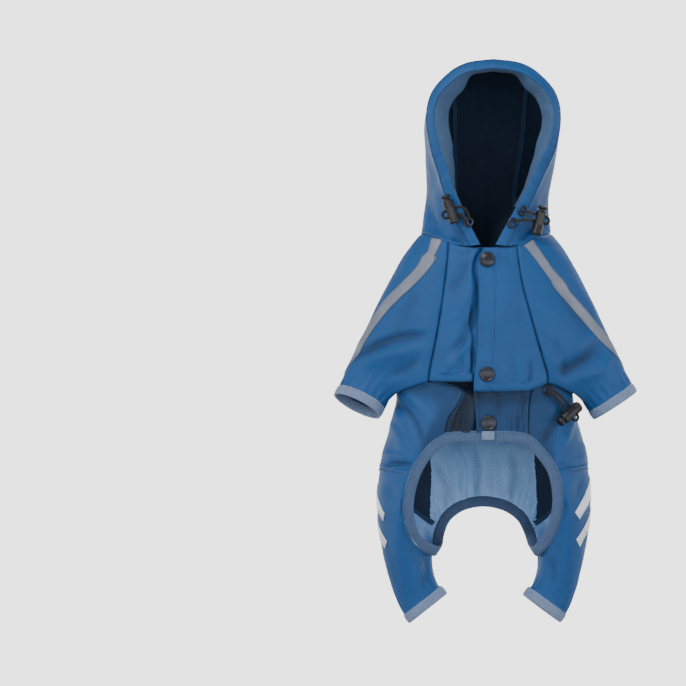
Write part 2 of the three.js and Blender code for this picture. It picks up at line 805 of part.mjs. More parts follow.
// The lower back wraps from one side seam round the rump to the other: a from right to left, b down
function lowerBackBase(a, b) {
  const { side, angle } = backAngle(a);
  const sign = keep(side);
  const top = waistAt(sign * angle);
  const foot = lowerEdge(side, angle);
  const length = top.distanceTo(foot.point);
  const leave = vec(sign * 0.02, angle > 90 ? 0.03 : 0.06, -1).multiplyScalar(length);
  const point = bridge(top, foot.point, leave, foot.way.multiplyScalar(length * 0.9), b);
  const reach = 0.1;
  const near = side === 'right' ? clamp(1 - a / reach) : clamp(1 - (1 - a) / reach);
  if (near <= 0) return point;
  const edgeTop = waistAt(sign * SIDE_ANGLE[side]);
  const edgeFoot = lowerEdge(side, SIDE_ANGLE[side]);
  const edgeLength = edgeTop.distanceTo(edgeFoot.point);
  const edgeLeave = vec(sign * 0.02, 0.06, -1).multiplyScalar(edgeLength);
  const edge = bridge(edgeTop, edgeFoot.point, edgeLeave, edgeFoot.way.multiplyScalar(edgeLength * 0.9), b);
  return point.addScaledVector(seamToSide(side, b).sub(edge), near * near);
}

// The way out at the hip seam, which both of its panels follow
const hipOut = (side, a) => wayOut(lowerBackBase, a, 1, vec(keep(side) * 45, 0, -215));

function lowerBackLift(a, b) {
  const { side, angle } = backAngle(a);
  const foot = lowerEdge(side, angle);
  if (foot.turn === null) return 0;
  const length = waistAt(keep(side) * angle).distanceTo(foot.point);
  const border = clamp((angle - SIDE_ANGLE[side]) / 3) * clamp(Math.abs(angle - HIP_ANGLES[0]) / 2);
  return openingWave(foot.turn, (1 - b) * length) * border * clamp(Math.abs(angle - HIP_ANGLES[1]) / 3);
}
const lowerBack = raised(lowerBackBase, lowerBackLift, -1);

function lowerBackPanel() {
  const mark = backShare;
  const few = steps(0, 1, 28);
  const many = [
    ...steps(0, mark('right', HIP_ANGLES[0]), 9),
    ...steps(mark('right', HIP_ANGLES[0]), mark('right', HIP_ANGLES[1]), 10).slice(1),
    ...steps(mark('right', HIP_ANGLES[1]), mark('left', HIP_ANGLES[1]), 48).slice(1),
    ...steps(mark('left', HIP_ANGLES[1]), mark('left', HIP_ANGLES[0]), 10).slice(1),
    ...steps(mark('left', HIP_ANGLES[0]), 1, 9).slice(1),
  ];
  const rows = LOWER_ROWS.map((b) => [b, b < 0.75 ? few : many]);
  const border = (a, b, point) => {
    if (b === 0) return bodyWay(point);
    if (b < 1) return sideSeamWay(a < 0.5 ? 'right' : 'left', point);
    const { side, angle } = backAngle(a);
    const turn = lowerEdge(side, angle).turn;
    return turn === null ? hipOut(side, a) : openingOut(turn);
  };
  return wall(lowerBack, rows, { flip: true, border });
}

// The upper back: a from the right seam to the left, b down from the neck to the waist
function upperBack(a, b) {
  const turned = mix(ARMHOLE_BACK, 360 - ARMHOLE_BACK, a);
  const angle = turned > 180 ? turned - 360 : turned;
  const neckHeight = along(NECK, Math.abs(angle))[0];
  const waistHeight = along(WAIST, Math.abs(angle))[0];
  return body(angle, mix(neckHeight, waistHeight, b));
}

function upperBackPanel() {
  const keys = steps(0, 1, 14);
  const border = (a, b, point) => bodyWay(point);
  return wall(upperBack, steps(0, 1, 9).map((b) => [b, keys]), { flip: true, border });
}

// The edge of one armhole, once round from the shoulder at the neck: down the front seam and up the back
function armhole(side, turn) {
  const sign = keep(side);
  const [neckFront, neckBack] = NECK_TURN;
  const [raglanFront, raglanBack] = RAGLAN_TURN;
  const seam = CHEST[side][0][1];
  const first = Math.abs(angleAt(seam, neckHeightAt(seam)));
  if (turn <= neckFront) return neckSeam(sign * mix(SHOULDER_ANGLE, first, turn / neckFront));
  if (turn <= raglanFront) return chestSide(side, (turn - neckFront) / (raglanFront - neckFront));
  if (turn <= raglanBack) {
    const share = (turn - raglanFront) / (raglanBack - raglanFront);
    const corner = chestSide(side, 1).sub(waistAt(sign * SIDE_ANGLE[side]));
    const point = waistAt(sign * mix(SIDE_ANGLE[side], ARMHOLE_BACK, share));
    point.addScaledVector(corner, clamp(1 - share * 8));
    point.z += ARMHOLE_LIFT * clamp(share * 8) * mix(1, 0.35, clamp(share * 16 - 15));
    return point;
  }
  if (turn <= neckBack) {
    const share = (turn - raglanBack) / (neckBack - raglanBack);
    return upperBack(side === 'right' ? 0 : 1, Math.min(0.993, 1 - share));
  }
  return neckSeam(sign * mix(ARMHOLE_BACK, SHOULDER_ANGLE, (turn - neckBack) / (1 - neckBack)));
}

// The chest's seam to the sleeve, down to the fold's lowest point
function chestSide(side, share) {
  const top = chest(side, 1, Math.min(1, share / CHEST_SHARE));
  const end = chestFold(side, 1, FOLD_LOWEST);
  return share <= CHEST_SHARE ? top : top.lerp(end, (share - CHEST_SHARE) / (1 - CHEST_SHARE));
}

// A point on an oval ring: its angle runs from the outer end, over the front, to the inner end
function ring({ at, axis, wide, deep }, angle, forward = 0, grow = 0) {
  const way = vec(...axis).normalize();
  const outer = vec(Math.sign(at[0]), 0, 0);
  outer.addScaledVector(way, -outer.dot(way)).normalize();
  const front = vec(0, -1, 0).addScaledVector(way, way.y);
  front.addScaledVector(outer, -front.dot(outer)).normalize();
  const point = vec(...at).addScaledVector(way, forward);
  point.addScaledVector(outer, (wide + grow) * Math.cos(rad(angle)));
  return point.addScaledVector(front, (deep + grow) * Math.sin(rad(angle)));
}

// The sleeve's own edge: the armhole's edge moved in along the body by the gap at the seam
function sleeveEdge(side, turn) {
  const point = armhole(side, turn);
  const next = armhole(side, Math.min(1, turn + 0.004)).sub(armhole(side, Math.max(0, turn - 0.004)));
  const inset = bodyWay(point).cross(next).normalize();
  const middle = vec(keep(side) * 64, -8, -60);
  if (inset.dot(middle.sub(point)) < 0) inset.negate();
  return point.addScaledVector(inset, SEAM_TRIM);
}

function sleeveBase(side) {
  const way = vec(...CUFF[side].axis).normalize();
  return (turn, b) => {
    const at = ((turn % 1) + 1) % 1;
    const from = sleeveEdge(side, at);
    const to = ring(CUFF[side], at * 360);
    const [x, y, z, reach] = along(ARMHOLE, at);
    const leave = vec(keep(side) * x, y, z).normalize().multiplyScalar(reach);
    const arrive = way.clone().multiplyScalar(Math.min(CUFF_REACH, reach + 15));
    return bridge(from, to, leave, arrive, b);
  };
}

const ringWave = (count, height, turn, distance) => {
  const near = (1 - Math.exp(-distance / 3)) * Math.exp(-distance / 11);
  return 2 * height * near * Math.cos(2 * Math.PI * count * turn);
};

function sleeve(side) {
  const length = 85;
  const lift = (turn, b) => ringWave(CUFF_GATHERS, CUFF_WAVE, turn, (1 - b) * length);
  return raised(sleeveBase(side), lift, keep(side));
}

function sleevePanel(side) {
  const [front, back] = RAGLAN_TURN;
  const seam = [...CHEST_ROWS, 1].map((b) => mix(NECK_TURN[0], front, b * CHEST_SHARE));
  const clean = [
    ...steps(0, NECK_TURN[0], 3).slice(0, -1),
    ...seam,
    ...steps(front, back, 8),
    ...steps(back, NECK_TURN[1], 9).slice(1),
    ...steps(NECK_TURN[1], 1, 2).slice(1, -1),
  ];
  const many = steps(0, 1, 4 * CUFF_GATHERS).slice(0, -1);
  const rows = [0, 0.05, 0.2, 0.38, 0.56].map((b) => [b, clean]);
  [0.72, 0.84, 0.92, 1].forEach((b) => rows.push([b, many]));
  const border = (turn, b, point) => (b === 0 ? bodyWay(point) : null);
  return wall(sleeve(side), rows, { closed: true, flip: side === 'left', border, trimTop: 0 });
}

// The upper edge of one leg: the hip seam to the back, then the opening's edge under and up to the front
function legTop(side, turn) {
  if (turn <= LEG_SEAM_TURN) return hip(side, turn / LEG_SEAM_TURN);
  const share = (turn - LEG_SEAM_TURN) / (1 - LEG_SEAM_TURN);
  return opening(mix(HIP_BACK[side], HIP_FRONT[side], share));
}

function legBase(side) {
  const hem = HEM_RING[side];
  const down = vec(...hem.axis).normalize();
  return (turn, b) => {
    const at = ((turn % 1) + 1) % 1;
    const from = legTop(side, at);
    const round = along(LEG_TWIST, at)[0];
    const to = ring(hem, 90 - round);
    const length = from.distanceTo(to);
    const arrive = down.clone().multiplyScalar(Math.min(HEM_REACH, length * 0.75));
    if (at <= LEG_SEAM_TURN) {
      const leave = hipWay(side, at / LEG_SEAM_TURN).multiplyScalar(length * 0.9);
      return bridge(from, to, leave, arrive, b);
    }
    const share = (at - LEG_SEAM_TURN) / (1 - LEG_SEAM_TURN);
    const [fall, reach] = along(LEG_EDGE, share);
    const away = openingWay(mix(HIP_BACK[side], HIP_FRONT[side], share)).negate();
    const leave = away.add(vec(0, 0, -fall)).normalize().multiplyScalar(reach);
    const seam = hipWay(side, share < 0.5 ? 1 : 0).multiplyScalar(length * 0.9);
    leave.lerp(seam, 1 - clamp(share * 14) * clamp((1 - share) * 14));
    return bridge(from, to, leave, arrive, b);
  };
}

function leg(side) {
  const base = legBase(side);
  const lift = (turn, b) => {
    const at = ((turn % 1) + 1) % 1;
    const length = base(at, 0).distanceTo(base(at, 1));
    const hemWave = ringWave(HEM_GATHERS, HEM_WAVE, at, (1 - b) * length);
    if (at <= LEG_SEAM_TURN) return hemWave;
    const share = (at - LEG_SEAM_TURN) / (1 - LEG_SEAM_TURN);
    const border = clamp(share * 12) * clamp((1 - share) * 12);
    return hemWave + border * openingWave(mix(HIP_BACK[side], HIP_FRONT[side], share), b * length);
  };
  return raised(base, lift, -keep(side));
}

function legPanel(side) {
  const seam = steps(0, LEG_SEAM_TURN, 10);
  const edge = steps(LEG_SEAM_TURN, 1, 36).slice(1, -1);
  const upper = [...seam, ...edge];
  const middle = steps(0, 1, 24).slice(0, -1);
  const lower = steps(0, 1, 4 * HEM_GATHERS).slice(0, -1);
  const rows = [0, 0.07, 0.16].map((b) => [b, upper]);
  [0.3, 0.46, 0.62, 0.76].forEach((b) => rows.push([b, middle]));
  [0.86, 0.93, 1].forEach((b) => rows.push([b, lower]));
  const border = (turn, b) => {
    if (b > 0) return null;
    if (turn <= LEG_SEAM_TURN) return hipOut(side, backShare(side, mix(...HIP_ANGLES, turn / LEG_SEAM_TURN)));
    const share = (turn - LEG_SEAM_TURN) / (1 - LEG_SEAM_TURN);
    return openingOut(mix(HIP_BACK[side], HIP_FRONT[side], share));
  };
  return wall(leg(side), rows, { closed: true, flip: side === 'right', border, trimTop: 2 * SEAM_TRIM });
}

// The hood leans a little to the right towards its top
function lean(point) {
  point.x += LEAN * ease((point.z - LEAN_FROM) / (LEAN_TO - LEAN_FROM));
  return point;
}

const mirrored = (share, x, y, z) => lean(vec(share < 0 ? -x : x, y, z));

function rimEdge(share, outer) {
  const [ix, iy, iz, ox, oy, oz] = along(RIM, Math.abs(share));
  return outer ? mirrored(share, ox, oy, oz) : mirrored(share, ix, iy, iz);
}

// The hood: a from the chin on the right, over the top at 0, to the chin on the left; b from rim to neck
function hood(a, b) {
  const share = Math.min(1, Math.abs(a));
  const places = along(HOOD, share);
  const start = rimEdge(a, true);
  const foot = neckSeam(Math.sign(a || 1) * along(HOOD_FOOT, share)[0]);
  const line = [[0, start.x, start.y, start.z]];
  HOOD_COLUMNS.forEach((column, i) => {
    const place = mirrored(a, places[3 * i], places[3 * i + 1], places[3 * i + 2]);
    line.push([column, place.x, place.y, place.z]);
  });
  line.push([1, foot.x, foot.y, foot.z]);
  const [x, y, z] = along(line, b);
  return vec(x, y, z);
}

const hoodWay = (a, b) => wayOut(hood, a, b, vec(LEAN / 2, 0, 60));

function hoodPanel(from, to, columns) {
  const keys = steps(from, to, columns);
  const rows = [0, 0.12, 0.27, 0.41, 0.54, 0.66, 0.78, 0.9, 1].map((b) => [b, keys]);
  return wall(hood, rows, { border: hoodWay, trim: HOOD_TRIM });
}

// The turned rim that the cord runs in, from chin to chin
function rimCasing() {
  const shares = steps(-1, 1, 38);
  const sections = shares.map((share) => {
    const inner = rimEdge(share, false);
    const outer = rimEdge(share, true);
    const wide = outer.clone().sub(inner);
    const next = rimEdge(Math.min(1, share + 0.01), false).sub(rimEdge(Math.max(-1, share - 0.01), false));
    const out = next.cross(wide).normalize();
    const edgeWay = hoodWay(share, 0);
    const chin = CHIN_TRIM * clamp((Math.abs(share) - CHIN_FROM) / (1 - CHIN_FROM));
    outer.addScaledVector(wide.clone().normalize(), -SEAM_TRIM - chin);
    const middle = inner.clone().lerp(outer, 0.5);
    const half = CASING_THICK / 2;
    return [
      inner.clone(),
      inner.clone().lerp(outer, 0.12).addScaledVector(out, half * 0.9),
      middle.clone().addScaledVector(out, half),
      outer.clone().addScaledVector(edgeWay, 0.2),
      outer.clone().addScaledVector(edgeWay, -CLOTH - 0.2),
      middle.clone().addScaledVector(out, -half),
      inner.clone().lerp(outer, 0.12).addScaledVector(out, -half * 0.9),
    ];
  });
  return sweep(sections, false);
}

// A binding's section: a flattened round-edged band from the edge, along its way
function band(edge, way, out, width, thick) {
  const half = thick / 2;
  const place = (share, height) => {
    return edge.clone().addScaledVector(way, share * width).addScaledVector(out, height);
  };
  return [
    place(0, half * 0.8),
    place(0.6, half),
    place(1, half * 0.5),
    place(1, -half * 0.5),
    place(0.6, -half),
    place(0, -half * 0.8),
  ];
}

function openingBinding() {
  const turns = steps(0, 1, 76).slice(0, -1);
  const sections = turns.map((turn) => {
    const way = openingWay(turn);
    const out = openingOut(turn);
    const edge = opening(turn).addScaledVector(way, 3 * SEAM_TRIM).addScaledVector(out, -CLOTH / 2);
    return band(edge, way, out, BINDING_WIDTH, BINDING_THICK);
  });
  return sweep(sections, true);
}

function ringBinding(spec, width) {
  const way = vec(...spec.axis).normalize();
  const sections = steps(0, 360, 26).slice(0, -1).map((angle) => {
    const edge = ring(spec, angle, 2 * SEAM_TRIM, -CLOTH / 2);
    const out = ring(spec, angle, 0, 1).sub(ring(spec, angle, 0, 0)).normalize();
    return band(edge, way, out, width, BINDING_THICK);
  });
  return sweep(sections, true);
}

// How high the highest cloth near a point stands over it, along a way out
const FAR = 12;
const caster = new THREE.Raycaster();

function heightOver(meshes, point, out, reach) {
  const across = vec(0, 0, 1).cross(out).normalize();
  const up = out.clone().cross(across);
  const tries = [[0, 0], [reach, 0], [-reach, 0], [0, reach], [0, -reach]];
  const heights = tries.map(([u, v]) => {
    const from = point.clone().addScaledVector(across, u).addScaledVector(up, v).addScaledVector(out, FAR);
    caster.set(from, out.clone().negate());
    const [hit] = caster.intersectObjects(meshes);
    return hit ? FAR - hit.distance : -FAR;
  });
  return Math.max(...heights);
}

// A thin piece laid on panels: its inner side stays off the highest cloth under it
const REACH = 2;

function laidOn(names, base, outward, rowKeys, { thick, flare = () => 0 }) {
  const meshes = names.map((name) => coat.getObjectByName(name));
  const lift = (a, b, point, normal) => {
    return heightOver(meshes, point, normal, REACH) + LAID_ON + thick + flare(b);
  };
  return wall(raised(base, lift, outward), rowKeys, { thick, flip: outward < 0, trim: 0 });
}

// A band of even width along a path on a surface: a across it from -0.5 to 0.5, s along it
function bandBase(surface, outward, path, width) {
  const tiny = 1e-3;
  return (a, s) => {
    const [turn, b] = along(path, s);
    const at = Math.min(1 - tiny, Math.max(tiny, s));
    const ahead = surface(...along(path, at + tiny)).sub(surface(...along(path, at - tiny))).normalize();
    const alongA = surface(turn + tiny, b).sub(surface(turn - tiny, b)).divideScalar(2 * tiny);
    const alongB = surface(turn, b + tiny).sub(surface(turn, b - tiny)).divideScalar(2 * tiny);
    const out = alongA.clone().cross(alongB).normalize().multiplyScalar(outward);
    const way = ahead.cross(out).multiplyScalar(a * width);
    const [aa, ab, bb] = [alongA.dot(alongA), alongA.dot(alongB), alongB.dot(alongB)];
    const [wa, wb] = [alongA.dot(way), alongB.dot(way)];
    const scale = aa * bb - ab * ab;
    return surface(turn + (wa * bb - wb * ab) / scale, b + (wb * aa - wa * ab) / scale);
  };
}

const ACROSS = [-0.5, 0, 0.5];

function sleeveTape(side) {
  const base = bandBase(sleeveBase(side), keep(side), TAPE[side], TAPE_WIDTH);
  const rows = [...steps(0, 0.7, 9), ...steps(0.7, 1, 9).slice(1)].map((s) => [s, ACROSS]);
  return laidOn([`sleeve_${side}`], base, 1, rows, { thick: TAPE_THICK, flare: () => TAPE_LIFT });
}

function legBar(side, path) {
  const base = bandBase(legBase(side), -keep(side), path, BAR_WIDTH);
  const rows = steps(0, 1, 7).map((s) => [s, ACROSS]);
  return laidOn([`leg_${side}`], base, 1, rows, { thick: TAPE_THICK, flare: () => TAPE_LIFT });
}

// The strip over the seam at the waist: its upper half follows the upper back, its lower half the lower back
function waistTunnel() {
  const base = (a, b) => {
    const z = mix(TUNNEL.top, TUNNEL.foot, b);
    const angle = mix(TUNNEL.from, 360 - TUNNEL.from, a);
    const around = angle > 180 ? angle - 360 : angle;
    const waist = waistAt(around);
    if (z > waist.z) return body(around, z);
    const side = around > 0 ? 'right' : 'left';
    const foot = lowerEdge(side, Math.abs(around)).point;
    return lowerBackBase(backShare(side, Math.abs(around)), (waist.z - z) / waist.distanceTo(foot));
  };
  const rows = steps(0, 1, 3).map((b) => [b, steps(0, 1, 18)]);
  return laidOn(['back_upper', 'back_lower'], base, -1, rows, { thick: CLOTH, flare: () => TAPE_LIFT });
}

function leashFlap() {
  const onBack = (x, z) => body(Math.sign(x || 1) * 180 - angleAt(x, z), z);
  const base = (a, b) => {
    const x = mix(FLAP.right, FLAP.left, a);
    const angle = 180 - Math.abs(angleAt(x, NECK[NECK.length - 1][1]));
    return onBack(x, mix(along(NECK, angle)[0] - FLAP.head, FLAP.foot, b));
  };
  const rows = steps(0, 1, 4).map((b) => [b, steps(0, 1, 6)]);
  return laidOn(['back_upper'], base, -1, rows, { thick: CLOTH, flare: (b) => FLAP.lift * b * b });
}

// Where the foot of a round piece sits on a panel's front, and the way it points
function seat(name, x, z, reach) {
  const meshes = [coat.getObjectByName(name)];
  const touch = (angle, radius) => {
    const from = vec(x + radius * Math.cos(rad(angle)), -1000, z + radius * Math.sin(rad(angle)));
    caster.set(from, vec(0, 1, 0));
    return caster.intersectObjects(meshes)[0]?.point;
  };
  const middle = touch(0, 0);
  const round = steps(0, 360, 12).slice(1).map((angle) => touch(angle, reach)).filter(Boolean);
  const out = vec(0, 0, 0);
  round.forEach((point, i) => {
    const next = round[(i + 1) % round.length].clone().sub(middle);
    out.add(point.clone().sub(middle).cross(next));
  });
  out.normalize();
  const lift = Math.max(0, ...round.map((point) => point.sub(middle).dot(out)));
  return { foot: middle.addScaledVector(out, lift + LAID_ON), out };
}

// Profiles of the turned pieces: radius, height
const SNAP_PROFILE = [[0, 0], [6.3, 0], [6.3, 1.1], [5.6, 1.9], [4.5, 2.2], [0, 2]];
const EYELET_PROFILE = [[2.5, 0], [4.5, 0], [3.9, 1], [3.1, 1], [2.5, 0]];
const BUTTON_PROFILE = [[0, 0], [2.6, 0], [2.6, 1.3], [4.1, 2.4], [4.1, 3.4], [3.4, 4.2], [0, 4.2]];
const SNAP_SIDES = 20;
const EYELET_SIDES = 18;
const BUTTON_SIDES = 14;

const lathe = (profile, sides) => {
  const points = profile.map((place) => new THREE.Vector2(...place));
  return new THREE.LatheGeometry(points, sides);
};

// A lock's barrel along Y with a slot through it along X, low and high up its length
function lockBarrel(offset) {
  const sides = 16;
  const end = LOCK_LENGTH / 2;
  const radius = LOCK_BARREL / 2;
  const heights = [-end, 1 - end, offset - LOCK_SLOT / 2, offset + LOCK_SLOT / 2, end - 0.8, end];
  const wide = [radius - 0.9, radius, radius, radius, radius, radius - 0.6];
  const points = heights.flatMap((height, row) => {
    return steps(0, 360, sides).slice(1).map((angle) => {
      return vec(wide[row] * Math.cos(rad(angle)), height, wide[row] * Math.sin(rad(angle)));
    });
  });
  const index = (row, i) => row * sides + ((i + sides - 1) % sides);
  const faces = [];
  const quad = (a, b, c, d, out) => {
    const way = points[b].clone().sub(points[a]).cross(points[c].clone().sub(points[a]));
    const order = way.dot(out) > 0 ? [a, b, c, d] : [a, d, c, b];
    faces.push([order[0], order[1], order[2]], [order[0], order[2], order[3]]);
  };
  const half = sides / 2;
  const open = [sides - 1, 0, half - 1, half];
  for (let row = 0; row < heights.length - 1; row += 1) {
    for (let i = 0; i < sides; i += 1) {
      if (row === 2 && open.includes(i)) continue;
      const out = points[index(row, i)].clone().setY(0);
      quad(index(row, i), index(row, i + 1), index(row + 1, i + 1), index(row + 1, i), out);
    }
  }
  [-1, 0].forEach((i) => {
    const across = [i, i + 1, half - i - 1, half - i];
    quad(...across.map((k) => index(2, k + sides)), vec(0, 1, 0));
    quad(...across.map((k) => index(3, k + sides)), vec(0, -1, 0));
  });
  [1, -1].forEach((i) => {
    const far = half - i;
    const out = vec(0, 0, -i);
    quad(index(2, i + sides), index(2, far), index(3, far), index(3, i + sides), out);
  });
  for (let i = 2; i < sides; i += 1) {
    faces.push([index(0, 1), index(0, i), index(0, i + 1)]);
    faces.push([index(5, 1), index(5, i + 1), index(5, i)]);
  }
  return geometryOf(points, faces);
}

// Turn a mesh so that its own +Y points one way and its own +X the other
function aim(mesh, at, up, across) {
  const z = across.clone().cross(up);
  mesh.quaternion.setFromRotationMatrix(new THREE.Matrix4().makeBasis(across, up, z));
  mesh.position.copy(at);
}

function cordTube(places) {
  const path = new THREE.CatmullRomCurve3(places.map((place) => vec(...place)), false, 'centripetal');
  const section = new THREE.Shape();
  steps(0, 360, 8).slice(0, -1).forEach((angle, i) => {
    const [x, y] = [(CORD / 2) * Math.cos(rad(angle)), (CORD / 2) * Math.sin(rad(angle))];
    if (i === 0) section.moveTo(x, y);
    else section.lineTo(x, y);
  });
  section.closePath();
  const count = Math.round(path.getLength() / CORD_STEP);
  return new THREE.ExtrudeGeometry(section, { extrudePath: path, steps: count, bevelEnabled: false });
}

// Colours from the photo
const PAINT = {
  cloth: [0x2f6899, 0.62, 0],
  binding: [0x7489a8, 0.8, 0],
  tape: [0x8c8f9b, 0.45, 0],
  bar: [0xc9ccd4, 0.4, 0],
  metal: [0x3a3634, 0.35, 0.7],
  plastic: [0x17181a, 0.45, 0],
  cord: [0x1b1c1f, 0.85, 0],
};

const coat = new THREE.Group();
coat.name = 'dog_raincoat';

function addPiece(name, geometry, paint) {
  const [color, roughness, metalness] = PAINT[paint];
  const mesh = new THREE.Mesh(geometry, new THREE.MeshStandardMaterial({ color, roughness, metalness }));
  mesh.name = name;
  coat.add(mesh);
  return mesh;
}

addPiece('hood_crown', hoodPanel(-CROWN, CROWN, 8), 'cloth');
addPiece('hood_side_right', hoodPanel(CROWN, 1, 12), 'cloth');
addPiece('hood_side_left', hoodPanel(-1, -CROWN, 12), 'cloth');
addPiece('hood_rim', rimCasing(), 'cloth');
addPiece('back_upper', upperBackPanel(), 'cloth');
addPiece('back_lower', lowerBackPanel(), 'cloth');
['right', 'left'].forEach((side) => {
  addPiece(`front_${side}`, frontPanel(side), 'cloth');
  addPiece(`sleeve_${side}`, sleevePanel(side), 'cloth');
  addPiece(`cuff_${side}`, ringBinding(CUFF[side], CUFF_BINDING), 'binding');
  addPiece(`leg_${side}`, legPanel(side), 'cloth');
  addPiece(`hem_${side}`, ringBinding(HEM_RING[side], CUFF_BINDING), 'binding');
});
addPiece('opening_binding', openingBinding(), 'binding');
addPiece('waist_tunnel', waistTunnel(), 'cloth');
addPiece('leash_flap', leashFlap(), 'cloth');
['right', 'left'].forEach((side) => {
  addPiece(`tape_${side}`, sleeveTape(side), 'tape');
  BARS[side].forEach((path, i) => addPiece(`bar_${side}_${i + 1}`, legBar(side, path), 'bar'));
});

const tab = addPiece('binding_tab', new THREE.BoxGeometry(...TAB.size), 'binding');
tab.position.set(...TAB.at);

Object.entries(SNAPS).forEach(([name, [x, z, panel]]) => {
  const { foot, out } = seat(panel, x, z, SNAP / 2);
  const across = vec(1, 0, 0).cross(out).normalize();
  aim(addPiece(name, lathe(SNAP_PROFILE, SNAP_SIDES), 'metal'), foot, out, across);
});
Object.entries(EYELETS).forEach(([name, [x, z, panel]]) => {
  const { foot, out } = seat(panel, x, z, EYELET_SEAT);
  const across = vec(1, 0, 0).cross(out).normalize();
  aim(addPiece(name, lathe(EYELET_PROFILE, EYELET_SIDES), 'metal'), foot, out, across);
});
Object.entries(LOCKS).forEach(([name, { at, axis, slot, offset }]) => {
  const up = vec(...axis).normalize();
  const across = vec(...slot).addScaledVector(up, -up.dot(vec(...slot))).normalize();
  aim(addPiece(`lock_${name}`, lockBarrel(offset), 'plastic'), vec(...at), up, across);
  const top = vec(...at).addScaledVector(up, LOCK_LENGTH / 2 + LAID_ON);
  aim(addPiece(`button_${name}`, lathe(BUTTON_PROFILE, BUTTON_SIDES), 'plastic'), top, up, across);
});
Object.entries(CORDS).forEach(([name, places]) => addPiece(`cord_${name}`, cordTube(places), 'cord'));

export default coat;
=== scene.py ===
import math
import bpy
import numpy as np
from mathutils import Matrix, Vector


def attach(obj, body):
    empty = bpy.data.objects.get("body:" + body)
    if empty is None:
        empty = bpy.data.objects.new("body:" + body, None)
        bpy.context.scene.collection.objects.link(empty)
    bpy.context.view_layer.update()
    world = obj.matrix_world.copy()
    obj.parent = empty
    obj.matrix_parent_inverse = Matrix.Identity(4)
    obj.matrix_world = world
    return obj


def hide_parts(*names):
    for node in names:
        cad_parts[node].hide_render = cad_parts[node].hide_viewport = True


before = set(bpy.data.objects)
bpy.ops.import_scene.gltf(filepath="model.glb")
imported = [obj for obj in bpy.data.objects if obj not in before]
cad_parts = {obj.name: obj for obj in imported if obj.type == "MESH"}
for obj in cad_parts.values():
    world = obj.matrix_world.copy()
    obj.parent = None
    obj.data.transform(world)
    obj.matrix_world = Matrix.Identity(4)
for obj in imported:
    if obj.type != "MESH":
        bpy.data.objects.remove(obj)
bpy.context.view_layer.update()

# Roundness of the body's level sections: 1 is an ellipse, less is squarer
SQUARE = 0.85

# Level sections of the body: height, middle, half width, depth in front, depth behind
BODY = [
  [-190, -0.8, 86, 39, 52],
  [-175, -1.7, 80.5, 42, 54],
  [-150, -3, 75.5, 46, 55],
  [-125, -1, 74, 49, 55],
  [-100, 0, 70, 50, 54],
  [-60, 0, 64, 47, 50],
  [-20, 0, 58, 41, 43],
  [-6, 0, 56, 38, 40],
  [12, 0, 53, 35, 36],
]

# Height of the neck seam: angle from the front, height
NECK = [
  [0, -6.6],
  [15, -5.8],
  [24, -4.4],
  [35, -0.5],
  [52, 3.4],
  [75, 5.9],
  [95, 5],
  [115, 0],
  [140, -10],
  [160, -17],
  [180, -20],
]

# Front panels, share of the way down the chest: seam to the sleeve, free edge, edge of the overlap step
CHEST = {
  "right": [
    [0, 24, -3.5],
    [0.12, 25.4, -8.4],
    [0.3, 28.5, -7.4],
    [0.55, 35.5, -8],
    [0.78, 42.4, -9.4],
    [1, 49.3, -12.2],
  ],
  "left": [
    [0, -32.5, 5, -6],
    [0.12, -33.3, 5, -11.5],
    [0.3, -35.4, 5, -13],
    [0.55, -39.2, 5, -14],
    [0.78, -43.6, 5, -13.6],
    [1, -48.6, 5, -12.6],
  ],
}
UNDERLAP_STEP = 3.2
UNDERLAP_RUN = 4

# Lower edge of the chest, where it folds under: place across, height
HEM = {
  "right": [
    [-14, -124.6],
    [10, -125],
    [33, -124.4],
    [42, -121.6],
    [50, -118],
  ],
  "left": [
    [-50, -117],
    [-34, -117.4],
    [-14, -117.2],
    [8, -117.2],
  ],
}

# The fold under the chest: step inward as a share of its depth, extra step, rise as a share of its rise, drop
FOLD = [
  [0, 0, 0, 7],
  [0, 0.3, 0, 2.6],
  [0, 1.3, 0, 0.4],
  [0.45, 0.3, 0, 0],
  [0.7, 0.2, 0.6, 0],
  [0.85, 0.1, 1, 0],
  [1, 0, 0.6, 0],
]
# The row of the fold that hangs lowest
FOLD_LOWEST = 2

# Depth and rise of that fold: place across, depth, rise
FOLD_SIZE = {
  "right": [
    [-14, 8.5, 1.6],
    [6, 8.5, 1.8],
    [14, 8.5, 4],
    [30, 8.5, 5],
    [40, 6, 3],
    [50, 4.4, 1],
  ],
  "left": [
    [-50, 4.4, 1],
    [-42, 6, 2],
    [-34, 8.5, 4],
    [-22, 12, 6],
    [-14, 13.5, 6],
    [8, 13.5, 5],
  ],
}

# Seam from the belly to the side: share of the way down, place across, height, step in from the body
BELLY_SEAM = {
  "right": [
    [0, 49, -118.4, 4.6],
    [0.12, 42, -120.4, 6],
    [0.26, 36.6, -124, 7],
    [0.45, 34.6, -134, 6.4],
    [0.72, 33.8, -148, 4],
    [1, 34, -162.5, 1.2],
  ],
  "left": [
    [0, -48, -117.4, 4.6],
    [0.15, -38, -118.4, 5.6],
    [0.32, -25, -121.6, 5.4],
    [0.46, -21, -127, 4.8],
    [0.64, -26, -137.5, 3.6],
    [0.82, -33, -148, 2.4],
    [1, -35, -160.8, 1],
  ],
}
BELLY_EDGE = {"right": -9.6, "left": 5}

